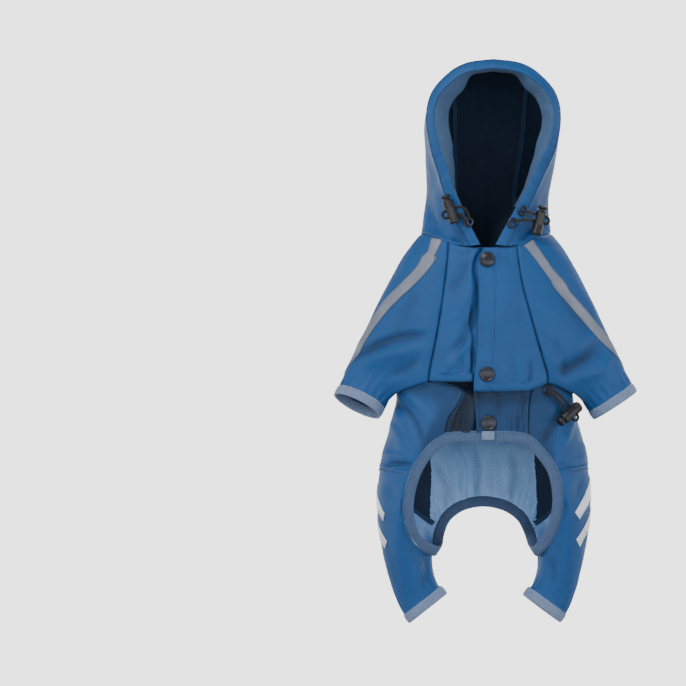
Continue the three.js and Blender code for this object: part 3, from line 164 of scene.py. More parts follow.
# Edge of the opening: turn from the middle in front towards +X, place, and the way its binding points
OPENING = [
  [0, 0, -41, -159, 0, 0.15, -1],
  [0.04, 20, -41, -159.5, -0.15, 0.15, -1],
  [0.069, 34, -40, -162.5, -0.3, 0.15, -0.95],
  [0.094, 43.5, -39, -171, -0.6, 0.15, -0.8],
  [0.14, 56.5, -36.5, -189.5, -0.85, 0.15, -0.5],
  [0.189, 61.4, -32, -213, -1, 0.15, -0.05],
  [0.233, 59.4, -25, -234, -0.95, 0.2, 0.25],
  [0.275, 52.5, -15, -251, -0.75, 0.2, 0.6],
  [0.313, 43.5, -3, -262.5, -0.5, 0.05, 0.85],
  [0.332, 41.2, 7, -262, -0.6, -0.1, 0.8],
  [0.364, 42.5, 19, -252.5, -0.95, -0.2, 0.15],
  [0.394, 40, 29, -241.5, -0.85, -0.2, -0.45],
  [0.425, 33, 36, -229.5, -0.6, -0.1, -0.8],
  [0.461, 19, 42.5, -220.5, -0.25, 0, -0.97],
  [0.5, 0, 45, -217, 0, 0, -1],
  [0.539, -19, 42.5, -220.5, 0.25, 0, -0.97],
  [0.575, -33, 36, -229.5, 0.6, -0.1, -0.8],
  [0.606, -40, 29, -241.5, 0.85, -0.2, -0.45],
  [0.636, -42.5, 19, -252.5, 0.95, -0.2, 0.15],
  [0.668, -41.2, 7, -262, 0.6, -0.1, 0.8],
  [0.687, -44, -3, -262.5, 0.5, 0.05, 0.85],
  [0.727, -58, -14.5, -254, 0.75, 0.2, 0.6],
  [0.765, -66.5, -24, -239, 0.95, 0.2, 0.25],
  [0.811, -68.5, -31, -216, 1, 0.15, -0.05],
  [0.86, -62, -36.5, -190.5, 0.85, 0.15, -0.5],
  [0.896, -50, -39, -172, 0.6, 0.15, -0.8],
  [0.931, -35, -40, -160.8, 0.3, 0.15, -0.95],
  [0.96, -20, -41, -159.5, 0.15, 0.15, -1],
  [1, 0, -41, -159, 0, 0.15, -1],
]
HIP_FRONT = {"right": 0.14, "left": 0.86}
HIP_BACK = {"right": 0.394, "left": 0.606}
SIDE_FRONT = {"right": 0.069, "left": 0.931}
OPENING_LENGTH = 500

# Seam from the hip to the leg, on the right: share of the way, place, and the cloth's way down there
HIP = [
  [0, 56.5, -36.5, -189.5, 0.45, -0.1, -1],
  [0.14, 70, -28, -189, 0.3, -0.02, -1],
  [0.28, 82, -13, -187.5, 0.28, 0, -0.97],
  [0.42, 86.5, 3, -187.5, 0.28, 0, -0.97],
  [0.58, 84, 19, -196, 0.15, 0.02, -1],
  [0.74, 73, 30, -212, 0, -0.05, -1],
  [0.88, 57, 33, -229, 0.15, -0.15, -1],
  [1, 40, 29, -241.5, 0.6, -0.25, -0.8],
]

# Angles round the body where the lower back's edge passes the side seam, hip seam and opening
SIDE_ANGLE = {"right": 39, "left": 38}
HIP_ANGLES = [52, 138]
ARMHOLE_BACK = 105

# Lower edge of the armhole and of the upper back: angle from the front, height, step in from the body
WAIST = [
  [36, -118.2, 4.6],
  [46, -119.5, 3],
  [60, -122, 1],
  [80, -124.5, 0],
  [105, -125.5, 0],
  [180, -125.5, 0],
]

# Cloth leaving the armhole, on the right: turn round it, its way, and how far it keeps to it
ARMHOLE = [
  [0, 0.75, 0, -0.66, 105],
  [0.11, 0.88, -0.12, -0.45, 95],
  [0.25, 0.9, -0.3, -0.35, 75],
  [0.36, 0.82, -0.3, -0.5, 50],
  [0.44, 0.8, -0.15, -0.6, 32],
  [0.52, 0.82, 0, -0.57, 30],
  [0.63, 0.86, 0.1, -0.5, 35],
  [0.78, 0.85, 0.12, -0.5, 60],
  [0.93, 0.76, 0.08, -0.65, 90],
  [1, 0.75, 0, -0.66, 105],
]
NECK_TURN = [0.11, 0.93]
RAGLAN_TURN = [0.4, 0.63]
SHOULDER_ANGLE = 75
ARMHOLE_LIFT = 2.4
CHEST_SHARE = 0.94

# Cuffs: middle of the cloth's edge, the way it points, half its width and half its depth
CUFF = {
  "right": {"at": [104, -6, -131.5], "axis": [0.55, 0, -0.835], "wide": 21.5, "deep": 18},
  "left": {"at": [-104.5, -8, -132], "axis": [-0.45, -0.31, -0.84], "wide": 21.5, "deep": 17},
}
CUFF_REACH = 85

# Legs: the same for the hems
HEM_RING = {
  "right": {"at": [51, 1, -302], "axis": [-0.6, -0.06, -0.8], "wide": 19.5, "deep": 15.5},
  "left": {"at": [-52.5, 1, -302], "axis": [0.62, -0.08, -0.78], "wide": 20, "deep": 15.5},
}
HEM_REACH = 70

# Where the leg's upper edge meets the hem: turn round the leg, angle round the hem
LEG_TWIST = [
  [0, 15],
  [0.2, 88],
  [0.36, 140],
  [0.52, 200],
  [0.66, 262],
  [0.74, 300],
  [0.88, 342],
  [1, 375],
]
LEG_SEAM_TURN = 0.52
# Cloth leaving the opening for the leg: share of the way from back to front, how much it falls, its reach
LEG_EDGE = [
  [0, 1.2, 20],
  [0.12, 0.9, 14],
  [0.28, 0.15, 14],
  [0.5, 0.2, 26],
  [0.75, 0.4, 40],
  [0.9, 0.7, 50],
  [1, 1, 60],
]

# Hood from its top to its chin: share, inner edge of the rim, outer edge of the rim
RIM = [
  [0, 0, -42, 141, 0, -36.5, 148.6],
  [0.14, 20, -42.5, 138, 21.5, -37, 145.6],
  [0.25, 33, -43, 131, 36, -37, 138],
  [0.37, 45.5, -43.4, 118, 50.5, -37, 122],
  [0.5, 49.8, -43.5, 101, 55.4, -37, 102],
  [0.64, 45.6, -43, 79, 52, -37, 76.5],
  [0.76, 36, -42, 56, 43.4, -37, 52.5],
  [0.86, 27.6, -41, 36, 35.4, -37, 32],
  [0.94, 17, -39.6, 15.5, 25.6, -37.2, 11],
  [1, 6.4, -38.6, -4.4, 15.6, -38, -5.4],
]

# Hood from rim to neck seam: share round the rim, then three places along the cloth between the two
HOOD = [
  [0, 0, 20, 144, 0, 56, 97, 0, 59, 38],
  [0.25, 33, 18, 134, 30.5, 51, 92, 27, 53.5, 36],
  [0.5, 55.8, -10, 95, 52.4, 15, 69, 46.4, 25, 35],
  [0.76, 43, -22, 46, 46, -12, 35, 49.5, -6, 21],
  [1, 17, -38.3, -5.3, 18.6, -38.1, -5.2, 20.2, -37.8, -5.1],
]
HOOD_COLUMNS = [0.28, 0.54, 0.77]
CROWN = 0.25
# Where those places meet the neck seam: share round the rim, angle from the front
HOOD_FOOT = [
  [0, 180],
  [0.25, 146],
  [0.5, 115],
  [0.76, 78],
  [1, 19],
]
LEAN = 4.6
LEAN_FROM = 5
LEAN_TO = 90

# Tape down each sleeve: share of its way, turn round the sleeve, share down the sleeve
TAPE = {
  "right": [
    [0, 0.09, 0.02],
    [0.22, 0.11, 0.3],
    [0.45, 0.1, 0.5],
    [0.65, 0.07, 0.66],
    [0.82, -0.03, 0.82],
    [1, -0.15, 0.965],
  ],
  "left": [
    [0, 0.08, 0.02],
    [0.15, 0.12, 0.2],
    [0.35, 0.11, 0.38],
    [0.58, 0.07, 0.56],
    [0.8, 0.01, 0.78],
    [1, -0.14, 0.965],
  ],
}

# Reflective bars on the outside of each leg: share of the bar, turn round the leg, share down the leg
BAR_WIDTH = 9
BARS = {
  "right": [
    [[0, 0.21, 0.1], [1, 0.06, 0.32]],
    [[0, 0.23, 0.27], [1, 0.075, 0.48]],
  ],
  "left": [
    [[0, 0.27, 0.1], [1, 0.12, 0.32]],
    [[0, 0.29, 0.27], [1, 0.135, 0.48]],
  ],
}

# Strip across the back that carries the waist cord, and the flap over the upper back
TUNNEL = {"top": -111, "foot": -139, "from": 109}
FLAP = {"right": 28, "left": -24.5, "head": 1.6, "foot": -67, "lift": 1.2}

# Round pieces on the front, each set on the place of its solid
SNAPS = ("snap_top", "snap_middle", "snap_belly")
EYELETS = ("eyelet_hood_upper", "eyelet_hood_lower", "eyelet_hood_left", "eyelet_waist")

# The binding's end, folded over on the front of the opening: place across, height, place in depth, and size
TAB = {"at": [-0.1, -42.9, -161.6], "size": [10.6, 1.2, 7.2]}

# Cord locks: middle of the barrel, way to the button, way the cord's ends leave, shift of the slot
LOCKS = {
  "hood_right": {"at": [42.3, -32.5, 13.6], "axis": [0.26, 0, 0.97], "slot": [-0.97, 0, 0.26], "offset": 3.4},
  "hood_left": {"at": [-30.7, -45.6, 22.4], "axis": [-0.36, 0, 0.93], "slot": [0.93, 0, 0.36], "offset": -1},
  "waist": {"at": [69.2, -31.2, -143], "axis": [-0.7, -0.42, -0.58], "slot": [-0.64, 0, 0.77], "offset": 0},
}

# Cords from eyelet through the lock, round a loop, and back
CORDS = {
  "hood_right": [
    [28.9, -40.7, 23.2],
    [31.6, -41.9, 22.9],
    [34.4, -39.8, 22.4],
    [36.8, -35.4, 21.6],
    [39.4, -32.7, 20.8],
    [43.9, -32.5, 19.6],
    [48.2, -32.5, 18.4],
    [50.2, -32.5, 17.2],
    [50.7, -32.5, 14.9],
    [49.1, -32.5, 13],
    [46.9, -32.5, 13],
    [42.5, -32.5, 14.2],
    [38, -32.7, 15.4],
    [34.4, -35.8, 16.2],
    [30.2, -41, 16.2],
    [25.4, -43.2, 15.2],
    [20.6, -42.3, 13.5],
  ],
  "hood_left": [
    [-15.9, -42.8, 15.9],
    [-16.4, -44.2, 20],
    [-19.2, -45.3, 24.4],
    [-23.2, -45.6, 26.4],
    [-27.1, -45.6, 25.7],
    [-31.3, -45.6, 24.1],
    [-35.5, -45.6, 22.5],
    [-37.3, -45.6, 21.2],
    [-37.6, -45.6, 18.7],
    [-35.8, -45.6, 17.1],
    [-33.5, -45.6, 17.3],
    [-29.4, -45.6, 19.2],
    [-25.3, -45.6, 20.9],
    [-22.6, -45.2, 19.8],
    [-20.2, -44.3, 16.8],
    [-17.6, -42.8, 12.9],
  ],
  "waist": [
    [50.6, -38, -123.4],
    [54, -40.2, -124.9],
    [59.6, -38.8, -129],
    [65, -33.4, -134.2],
    [68.3, -30.3, -137.9],
    [71.2, -30, -141.4],
    [74.1, -30, -144.9],
    [75, -30.3, -146.9],
    [74.2, -31.2, -149],
    [72, -32.1, -149.5],
    [70.1, -32.4, -148.1],
    [67.2, -32.4, -144.6],
    [64.3, -32.4, -141.2],
    [60.6, -35.8, -136],
    [56.2, -39, -130.8],
    [52.8, -39.4, -127.8],
    [50, -38, -126.2],
  ],
}

SIDES = ("right", "left")
MM = 0.001
CORD = 2.3
TAPE_WIDTH = 10
THIN = 0.7

# Columns and rows of the panels' grids; the front's rows are chest, fold and belly
HOOD_ROWS = 110
CROWN_COLUMNS = 90
HOOD_SIDE_COLUMNS = 110
FRONT_COLUMNS = 120
CHEST_STEPS = 125
FOLD_STEPS = 37
BELLY_STEPS = 70
BELLY_START = CHEST_STEPS + FOLD_STEPS - 1
UPPER_BACK_GRID = (150, 110)
LOWER_BACK_GRID = (380, 120)
SLEEVE_GRID = (200, 100)
LEG_GRID = (220, 80)
FLAP_GRID = (70, 80)
TUNNEL_GRID = (240, 44)

# Factor on the folds' heights, fold depth at which the painted shade is full, and a seam's dip, width and
# puckers
CREASE = 1.45
PAINTED_SHADE_DEEP = 4.2
SEAM_DIP = 0.75
SEAM_ROLL = 1.0
PUCKER = 0.22

# Length of a stitch and of the gap after it, and how far stitches lie from a seam
STITCH = 2.1
STITCH_GAP = 0.7
STITCH_INSET = 1.8

# How dark the painted shade makes cloth at the bottom of a deep fold
PAINTED_SHADE_DARK = 0.42

# Camera, lights and floor, in metres: each light has its place, target, size and watts
CAMERA_PLACE = (-0.1195, -2.52, -0.0855)
CAMERA_LENS = 158
CAMERA_SENSOR = 36
LIGHTS = {
    "key": ((-0.8, -1.3, 1.6), (0, 0, -0.08), 0.4, 27),
    "fill": ((1.3, -1.4, 0.2), (0, 0, -0.1), 0.9, 3),
    "back": ((0.9, 1.5, 1.4), (0, 0, -0.08), 0.6, 18),
}
WORLD_BAND = 3.0
WORLD_REST = 0.22
WORLD_BAND_EDGES = (0.125, 0.19)
FLOOR_RADIUS = 10
FLOOR_HEIGHT = -1.6
FLOOR_SIDES = 96


# Small sums on arrays; every place is in millimetres until a mesh is made
def vec(x, y, z):
    return np.stack(np.broadcast_arrays(x, y, z), axis=-1).astype(float)


def unit(v):
    return v / np.maximum(np.linalg.norm(v, axis=-1, keepdims=True), 1e-9)


def mix(a, b, t):
    return a + (b - a) * t


def lerp(a, b, t):
    return a + (b - a) * np.asarray(t, float)[..., None]


def clamp(t):
    return np.clip(t, 0.0, 1.0)


def ease(t):
    return clamp(t) ** 2 * (3 - 2 * clamp(t))


def power(value, exponent):
    return np.sign(value) * np.abs(value) ** exponent


def keep(side):
    return 1 if side == "right" else -1


# Values at a place on a smooth curve through rows of values, each with its key
def curve(keys, values, at):
    keys = np.asarray(keys, float)
    values = np.asarray(values, float)
    at = np.clip(np.asarray(at, float), keys[0], keys[-1])
    i = np.clip(np.searchsorted(keys, at, side="right") - 1, 0, len(keys) - 2)
    number = np.arange(len(keys))
    before = np.maximum(number - 1, 0)
    after = np.minimum(number + 1, len(keys) - 1)
    extra = (1,) * (values.ndim - 1)
    slope = (values[after] - values[before]) / (keys[after] - keys[before]).reshape((-1,) + extra)
    width = (keys[i + 1] - keys[i]).reshape(at.shape + extra)
    t = (at - keys[i]).reshape(at.shape + extra) / width
    bend = (t - 2 * t * t + t**3) * slope[i] + (t**3 - t * t) * slope[i + 1]
    return values[i] + (3 * t * t - 2 * t**3) * (values[i + 1] - values[i]) + bend * width


def columns(table, key):
    rows = np.asarray(table, float)
    return np.moveaxis(curve(rows[:, 0], rows[:, 1:], key), -1, 0)


# A smooth line between two places that leaves and arrives along two given ways
def bridge(start, end, leave, arrive, t):
    t = np.asarray(t, float)[..., None]
    ahead = (t - 2 * t * t + t**3) * leave + (t**3 - t * t) * arrive
    return start * (1 - 3 * t * t + 2 * t**3) + end * (3 * t * t - 2 * t**3) + ahead


# Smooth unevenness from -1 to 1 that changes over about the given size
def wander(points, size, seed=0):
    place = points / size + 37.7 * seed
    cell = np.floor(place).astype(np.int64)
    part = place - cell
    part = part * part * (3 - 2 * part)
    total = np.zeros(points.shape[:-1])
    for corner in np.ndindex(2, 2, 2):
        key = cell + np.array(corner)
        number = (key[..., 0] * 73856093) ^ (key[..., 1] * 19349663) ^ (key[..., 2] * 83492791)
        value = np.sin((number & 0xFFFFF) * 12.9898) * 43758.5453
        weight = np.prod(np.where(np.array(corner) == 1, part, 1 - part), axis=-1)
        total += weight * (value - np.floor(value))
    return 2 * total - 1


# The body's level section at a height, by the angle from the front
def body(angle, z, inward=0.0):
    middle, wide, front, back = columns(BODY, z)
    across = power(np.sin(np.radians(angle)), SQUARE)
    deep = power(np.cos(np.radians(angle)), SQUARE)
    depth = np.where(deep > 0, front, back)
    return vec(middle + (wide - inward * 0.6) * across, -(depth - inward) * deep, z)


def neck_seam(angle):
    return body(angle, columns(NECK, np.abs(angle))[0])


def angle_at(x, z):
    middle, wide = columns(BODY, z)[:2]
    share = np.minimum(1, np.abs(x - middle) / wide)
    return np.sign(x - middle) * np.degrees(np.arcsin(share ** (1 / SQUARE)))


def on_front(x, z, inward=0.0):
    return vec(x, body(angle_at(x, z), z)[..., 1] + inward, z)


def neck_height_at(x):
    guess = columns(NECK, np.abs(angle_at(x, NECK[1][1])))[0]
    return columns(NECK, np.abs(angle_at(x, guess)))[0]


# The chest of one front panel: a from the free edge to the sleeve seam, b down to the fold
def chest(side, a, b):
    seam, edge, *step = columns(CHEST[side], b)
    x = mix(edge, seam, a)
    z = mix(neck_height_at(x), columns(HEM[side], x)[0] + FOLD[0][3], b)
    under = UNDERLAP_STEP * ease((x - step[0]) / UNDERLAP_RUN + 0.5) if step else 0.0
    return on_front(x, z, under)


def chest_fold(side, a, row):
    share, extra, rise, drop = np.moveaxis(curve(range(len(FOLD)), FOLD, row), -1, 0)
    top = chest(side, a, 1.0)
    depth, height = columns(FOLD_SIZE[side], top[..., 0])
    return top + vec(0 * depth, share * depth + extra, rise * height + drop - FOLD[0][3])


def opening(turn):
    return vec(*columns(OPENING, turn % 1)[:3])


def opening_way(turn):
    return unit(vec(*columns(OPENING, turn % 1)[3:]))


def opening_out(turn):
    return unit(np.cross(opening_way(turn), opening(turn + 0.004) - opening(turn - 0.004)))


def seam_to_side(side, b):
    b = np.asarray(b, float)
    return lerp(on_front(*columns(BELLY_SEAM[side], b)), opening(SIDE_FRONT[side]), ease((b - 0.75) / 0.25))


def belly_turn(side, a):
    seam_turn = SIDE_FRONT["right"] if side == "right" else SIDE_FRONT["left"] - 1
    return mix(BELLY_EDGE[side] / OPENING_LENGTH, seam_turn, a)


# The belly below the fold, from the free edge to the side seam
def belly(side, a, b):
    last = len(FOLD) - 1
    top = chest_fold(side, a, last)
    foot = opening(belly_turn(side, a))
    if side == "left":
        foot[..., 1] += 3.4 * ease((foot[..., 0] + 15) / 5)
    leave = np.array([0.0, 1, -24])
    arrive = np.array([0.0, -2, -24])
    corner = bridge(chest_fold(side, 1.0, last), opening(belly_turn(side, 1.0)), leave, arrive, b)
    shift = seam_to_side(side, b) - corner
    return bridge(top, foot, leave, arrive, b) + shift * vec(a**1.5, a**5, a**1.5)


def hip(side, share):
    share = np.asarray(share, float)
    sign = keep(side)
    x, y, z = columns(HIP, share)[:3]
    first = opening(HIP_FRONT[side]) - vec(sign * HIP[0][1], HIP[0][2], HIP[0][3])
    last = opening(HIP_BACK[side]) - vec(sign * HIP[-1][1], HIP[-1][2], HIP[-1][3])
    return vec(sign * x, y, z) + first * (1 - share)[..., None] + last * share[..., None]


def hip_way(side, share):
    x, y, z = columns(HIP, share)[3:]
    return unit(vec(keep(side) * x, y, z))


# Lower edge of the lower back: the point and the cloth's way there
def lower_edge(side, angle):
    start = SIDE_ANGLE[side]
    front = mix(SIDE_FRONT[side], HIP_FRONT[side], (angle - start) / (HIP_ANGLES[0] - start))
    back = mix(HIP_BACK[side], 0.5, (angle - HIP_ANGLES[1]) / (180 - HIP_ANGLES[1]))
    share = (angle - HIP_ANGLES[0]) / (HIP_ANGLES[1] - HIP_ANGLES[0])
    on_hip = (angle > HIP_ANGLES[0]) & (angle < HIP_ANGLES[1])
    turn = np.where(angle <= HIP_ANGLES[0], front, back)
    down = np.array([0.0, 0, -1])
    fall = np.where(angle <= HIP_ANGLES[0], 0.6, 0.4)
    beside = lerp(opening_way(turn), down, fall)
    way = np.where(on_hip[..., None], lerp(hip_way(side, share), down, 0.5), beside)
    return np.where(on_hip[..., None], hip(side, share), opening(turn)), unit(way)


def waist_at(angle):
    z, inward = columns(WAIST, np.abs(angle))
    return body(angle, z, inward)


BACK_SPAN = 360 - SIDE_ANGLE["right"] - SIDE_ANGLE["left"]


def lower_back_side(side, angle, a, b):
    sign = keep(side)
    near = clamp(1 - a / 0.1) if side == "right" else clamp(1 - (1 - a) / 0.1)

    def down(at):
        top = waist_at(sign * at)
        foot, way = lower_edge(side, at)
        length = np.linalg.norm(top - foot, axis=-1, keepdims=True)
        leave = vec(0.02 * sign, np.where(at > 90, 0.03, 0.06), -1) * length
        return bridge(top, foot, leave, way * length * 0.9, b)

    edge = down(np.asarray(float(SIDE_ANGLE[side])))
    return down(angle) + (seam_to_side(side, b) - edge) * (near * near)[..., None]


# The lower back wraps from one side seam round the rump to the other: a from right to left, b down
def lower_back(a, b):
    a, b = np.broadcast_arrays(np.asarray(a, float), np.asarray(b, float))
    turned = SIDE_ANGLE["right"] + a * BACK_SPAN
    angle = np.where(turned <= 180, turned, 360 - turned)
    both = [lower_back_side(side, angle, a, b) for side in SIDES]
    return np.where((turned <= 180)[..., None], *both)


def upper_back(a, b):
    turned = mix(ARMHOLE_BACK, 360 - ARMHOLE_BACK, a)
    angle = np.where(turned > 180, turned - 360, turned)
    return body(angle, mix(columns(NECK, np.abs(angle))[0], columns(WAIST, np.abs(angle))[0], b))


# The chest's seam to the sleeve, down to the fold's lowest point
def chest_side(side, share):
    top = chest(side, 1.0, np.minimum(1, share / CHEST_SHARE))
    end = chest_fold(side, 1.0, float(FOLD_LOWEST))
    return lerp(top, end, clamp((share - CHEST_SHARE) / (1 - CHEST_SHARE)))


# The edge of one armhole, once round from the shoulder: down the front seam and up the back
def armhole(side, turn):
    sign = keep(side)
    neck_front, neck_back = NECK_TURN
    raglan_front, raglan_back = RAGLAN_TURN
    seam = CHEST[side][0][1]
    first = abs(float(angle_at(seam, neck_height_at(seam))))
    share = (turn - raglan_front) / (raglan_back - raglan_front)
    under = waist_at(sign * mix(SIDE_ANGLE[side], ARMHOLE_BACK, clamp(share)))
    corner = chest_side(side, np.asarray(1.0)) - waist_at(sign * float(SIDE_ANGLE[side]))
    under = under + corner * clamp(1 - share * 8)[..., None]
    under[..., 2] += ARMHOLE_LIFT * clamp(share * 8) * mix(1, 0.35, clamp(share * 16 - 15))
    risen = clamp(1 - (turn - raglan_back) / (neck_back - raglan_back))
    up = upper_back(0.0 if side == "right" else 1.0, risen)
    parts = [
        neck_seam(sign * mix(SHOULDER_ANGLE, first, clamp(turn / neck_front))),
        chest_side(side, clamp((turn - neck_front) / (raglan_front - neck_front))),
        under,
        up,
        neck_seam(sign * mix(ARMHOLE_BACK, SHOULDER_ANGLE, clamp((turn - neck_back) / (1 - neck_back)))),
    ]
    which = np.searchsorted([neck_front, raglan_front, raglan_back, neck_back], turn)
    return np.choose(which[..., None], parts)


# A point on an oval ring: its angle runs from the outer end, over the front, to the inner end
def ring(spec, angle, forward=0.0, grow=0.0):
    way = unit(np.array(spec["axis"], float))
    outer = np.array([np.sign(spec["at"][0]), 0.0, 0.0])
    outer = unit(outer - way * outer.dot(way))
    front = np.array([0.0, -1.0, 0.0])
    front = front - way * front.dot(way)
    front = unit(front - outer * front.dot(outer))
    wide = (spec["wide"] + grow) * np.cos(np.radians(angle))
    deep = (spec["deep"] + grow) * np.sin(np.radians(angle))
    middle = np.array(spec["at"], float) + way * np.asarray(forward, float)[..., None]
    return middle + wide[..., None] * outer + deep[..., None] * front


def sleeve(side):
    way = unit(np.array(CUFF[side]["axis"], float))

    def surface(turn, b):
        turn, b = np.broadcast_arrays(np.asarray(turn, float), np.asarray(b, float))
        at = turn % 1
        x, y, z, reach = columns(ARMHOLE, at)
        leave = unit(vec(keep(side) * x, y, z)) * reach[..., None]
        arrive = way * np.minimum(CUFF_REACH, reach + 15)[..., None]
        return bridge(armhole(side, at), ring(CUFF[side], at * 360), leave, arrive, b)

    return surface


def leg_top(side, turn):
    share = (turn - LEG_SEAM_TURN) / (1 - LEG_SEAM_TURN)
    edge = opening(mix(HIP_BACK[side], HIP_FRONT[side], clamp(share)))
    return np.where((turn <= LEG_SEAM_TURN)[..., None], hip(side, clamp(turn / LEG_SEAM_TURN)), edge)


def leg(side):
    hem = HEM_RING[side]
    down = unit(np.array(hem["axis"], float))

    def surface(turn, b):
        turn, b = np.broadcast_arrays(np.asarray(turn, float), np.asarray(b, float))
        at = turn % 1
        start = leg_top(side, at)
        end = ring(hem, 90 - columns(LEG_TWIST, at)[0])
        length = np.linalg.norm(start - end, axis=-1, keepdims=True)
        on_seam = (at <= LEG_SEAM_TURN)[..., None]
        share = clamp((at - LEG_SEAM_TURN) / (1 - LEG_SEAM_TURN))
        fall, reach = columns(LEG_EDGE, share)
        away = -opening_way(mix(HIP_BACK[side], HIP_FRONT[side], share))
        away = unit(away + vec(0, 0, -fall)) * reach[..., None]
        seam = hip_way(side, np.where(share < 0.5, 1.0, 0.0)) * length * 0.9
        away = lerp(away, seam, 1 - clamp(share * 14) * clamp((1 - share) * 14))
        leave = np.where(on_seam, hip_way(side, clamp(at / LEG_SEAM_TURN)) * length * 0.9, away)
        return bridge(start, end, leave, down * np.minimum(HEM_REACH, length * 0.75), b)

    return surface


def lean(point):
    point[..., 0] += LEAN * ease((point[..., 2] - LEAN_FROM) / (LEAN_TO - LEAN_FROM))
    return point


def rim_edge(share, outer):
    places = columns(RIM, np.abs(share))
    x, y, z = places[3:] if outer else places[:3]
    return lean(vec(np.where(share < 0, -x, x), y, z))


# The hood: a from the chin on the right, over the top at 0, to the chin on the left; b from rim to neck
def hood(a, b):
    sign = np.where(a < 0, -1, 1)
    places = columns(HOOD, np.abs(a))
    line = [rim_edge(a, True)]
    for i in range(len(HOOD_COLUMNS)):
        line.append(lean(vec(sign * places[3 * i], places[3 * i + 1], places[3 * i + 2])))
    line.append(neck_seam(sign * columns(HOOD_FOOT, np.abs(a))[0]))
    return curve([0, *HOOD_COLUMNS, 1], np.stack(line), b)


# A band of even width along a path on a surface: a across it from -0.5 to 0.5, s along it
def band_on(surface, outward, path, width, a, s):
    tiny = 1e-3
    turn, b = columns(path, s)
    at = np.clip(s, tiny, 1 - tiny)
    ahead = unit(surface(*columns(path, at + tiny)) - surface(*columns(path, at - tiny)))
    along_a = (surface(turn + tiny, b) - surface(turn - tiny, b)) / (2 * tiny)
    along_b = (surface(turn, b + tiny) - surface(turn, b - tiny)) / (2 * tiny)
    out = unit(np.cross(along_a, along_b)) * outward
    way = np.cross(ahead, out) * (a * width)[..., None]
    dot = lambda p, q: np.sum(p * q, axis=-1)
    aa, ab, bb = dot(along_a, along_a), dot(along_a, along_b), dot(along_b, along_b)
    wa, wb = dot(along_a, way), dot(along_b, way)
    scale = aa * bb - ab * ab
    return turn + (wa * bb - wb * ab) / scale, b + (wb * aa - wa * ab) / scale


# Looks
def linear(colour):
    shares = [value / 255 for value in colour]
    return [c / 12.92 if c <= 0.04045 else ((c + 0.055) / 1.055) ** 2.4 for c in shares] + [1.0]


class Look:
    """A material with short words for its nodes."""

    def __init__(self, name, rough, metallic=0.0, sheen=0.0, spec=0.5):
        self.material = bpy.data.materials.new(name)
        self.material.use_nodes = True
        self.nodes = self.material.node_tree.nodes
        self.links = self.material.node_tree.links
        self.shader = self.nodes["Principled BSDF"]
        self.shader.inputs["Roughness"].default_value = rough
        self.shader.inputs["Metallic"].default_value = metallic
        self.shader.inputs["Sheen Weight"].default_value = sheen
        self.shader.inputs["Specular IOR Level"].default_value = spec
        self.place = self.nodes.new("ShaderNodeTexCoord").outputs["Object"]

    def fill(self, sockets, values):
        for socket, value in zip(sockets, values):
            if isinstance(value, bpy.types.NodeSocket):
                self.links.new(value, socket)
            else:
                socket.default_value = value

    def node(self, kind, **sockets):
        node = self.nodes.new("ShaderNode" + kind)
        self.fill([node.inputs[name] for name in sockets], sockets.values())
        return node

    def noise(self, size_mm, detail=2.0):
        node = self.node("TexNoise", Vector=self.place, Scale=1 / (size_mm * MM), Detail=detail)
        return node.outputs["Fac"]

    def wave(self, way, period_mm, distort=0.0):
        node = self.node("TexWave", Vector=self.place, Scale=0.314 / (period_mm * MM), Distortion=distort)
        node.wave_type = "BANDS"
        node.bands_direction = way
        return node.outputs["Fac"]

    def math(self, kind, a, b):
        node = self.nodes.new("ShaderNodeMath")
        node.operation = kind
        self.fill(node.inputs, (a, b))
        return node.outputs[0]

    def total(self, a, part_a, b, part_b):
        return self.math("ADD", self.math("MULTIPLY", a, part_a), self.math("MULTIPLY", b, part_b))

    def blend(self, fac, first, second):
        node = self.nodes.new("ShaderNodeMix")
        node.data_type = "RGBA"
        self.fill((node.inputs["Factor"], node.inputs[6], node.inputs[7]), (fac, first, second))
        return node.outputs[2]

    def finish(self, colour, height, strength, deep_mm):
        self.links.new(colour, self.shader.inputs["Base Color"])
        bump = self.node("Bump", Height=height, Strength=strength, Distance=deep_mm * MM)
        self.links.new(bump.outputs["Normal"], self.shader.inputs["Normal"])
        return self.material


# Plain-woven cloth: fine crossing threads, slight cloudiness, faint specks, and painted shade read from the
# sheet's points
def cloth_look(name, dark, light, speck, rough=0.6, thread=0.42, sheen=0.06, bump=0.35):
    look = Look(name, rough, sheen=sheen, spec=0.35)
    cloud = look.total(look.noise(34, 3.0), 0.6, look.noise(9, 3.0), 0.4)
    threads = look.math("MULTIPLY", look.wave("X", thread, 0.4), look.wave("Z", thread, 0.4))
    threads = look.math("ADD", threads, look.math("MULTIPLY", look.wave("Y", thread, 0.4), 0.5))
    fuzz = look.noise(0.9, 2.0)
    colour = look.blend(cloud, linear(dark), linear(light))
    specks = look.math("MULTIPLY", look.math("POWER", fuzz, 3.0), speck)
    colour = look.blend(specks, colour, linear([c * 1.35 + 12 for c in light]))
    # Painted shade stored on the points darkens the colour towards a dark copy of the cloth
    painted_shade = look.node("Attribute")
    painted_shade.attribute_name = "painted_shade"
    colour = look.blend(painted_shade.outputs["Fac"], colour, linear([c * PAINTED_SHADE_DARK for c in dark]))
    height = look.total(threads, 0.5, fuzz, 0.5)
    return look.finish(colour, height, bump, 0.12)


# Elastic binding: heathered ribs
def binding_look(name, dark, light):
    look = Look(name, 0.85, sheen=0.25, spec=0.25)
    ribs = look.math("MULTIPLY", look.wave("X", 0.9, 2.0), look.wave("Z", 0.9, 2.0))
    heather = look.total(look.noise(1.3, 3.0), 0.7, ribs, 0.35)
    colour = look.blend(heather, linear(dark), linear(light))
    return look.finish(colour, look.math("ADD", heather, ribs), 0.5, 0.2)


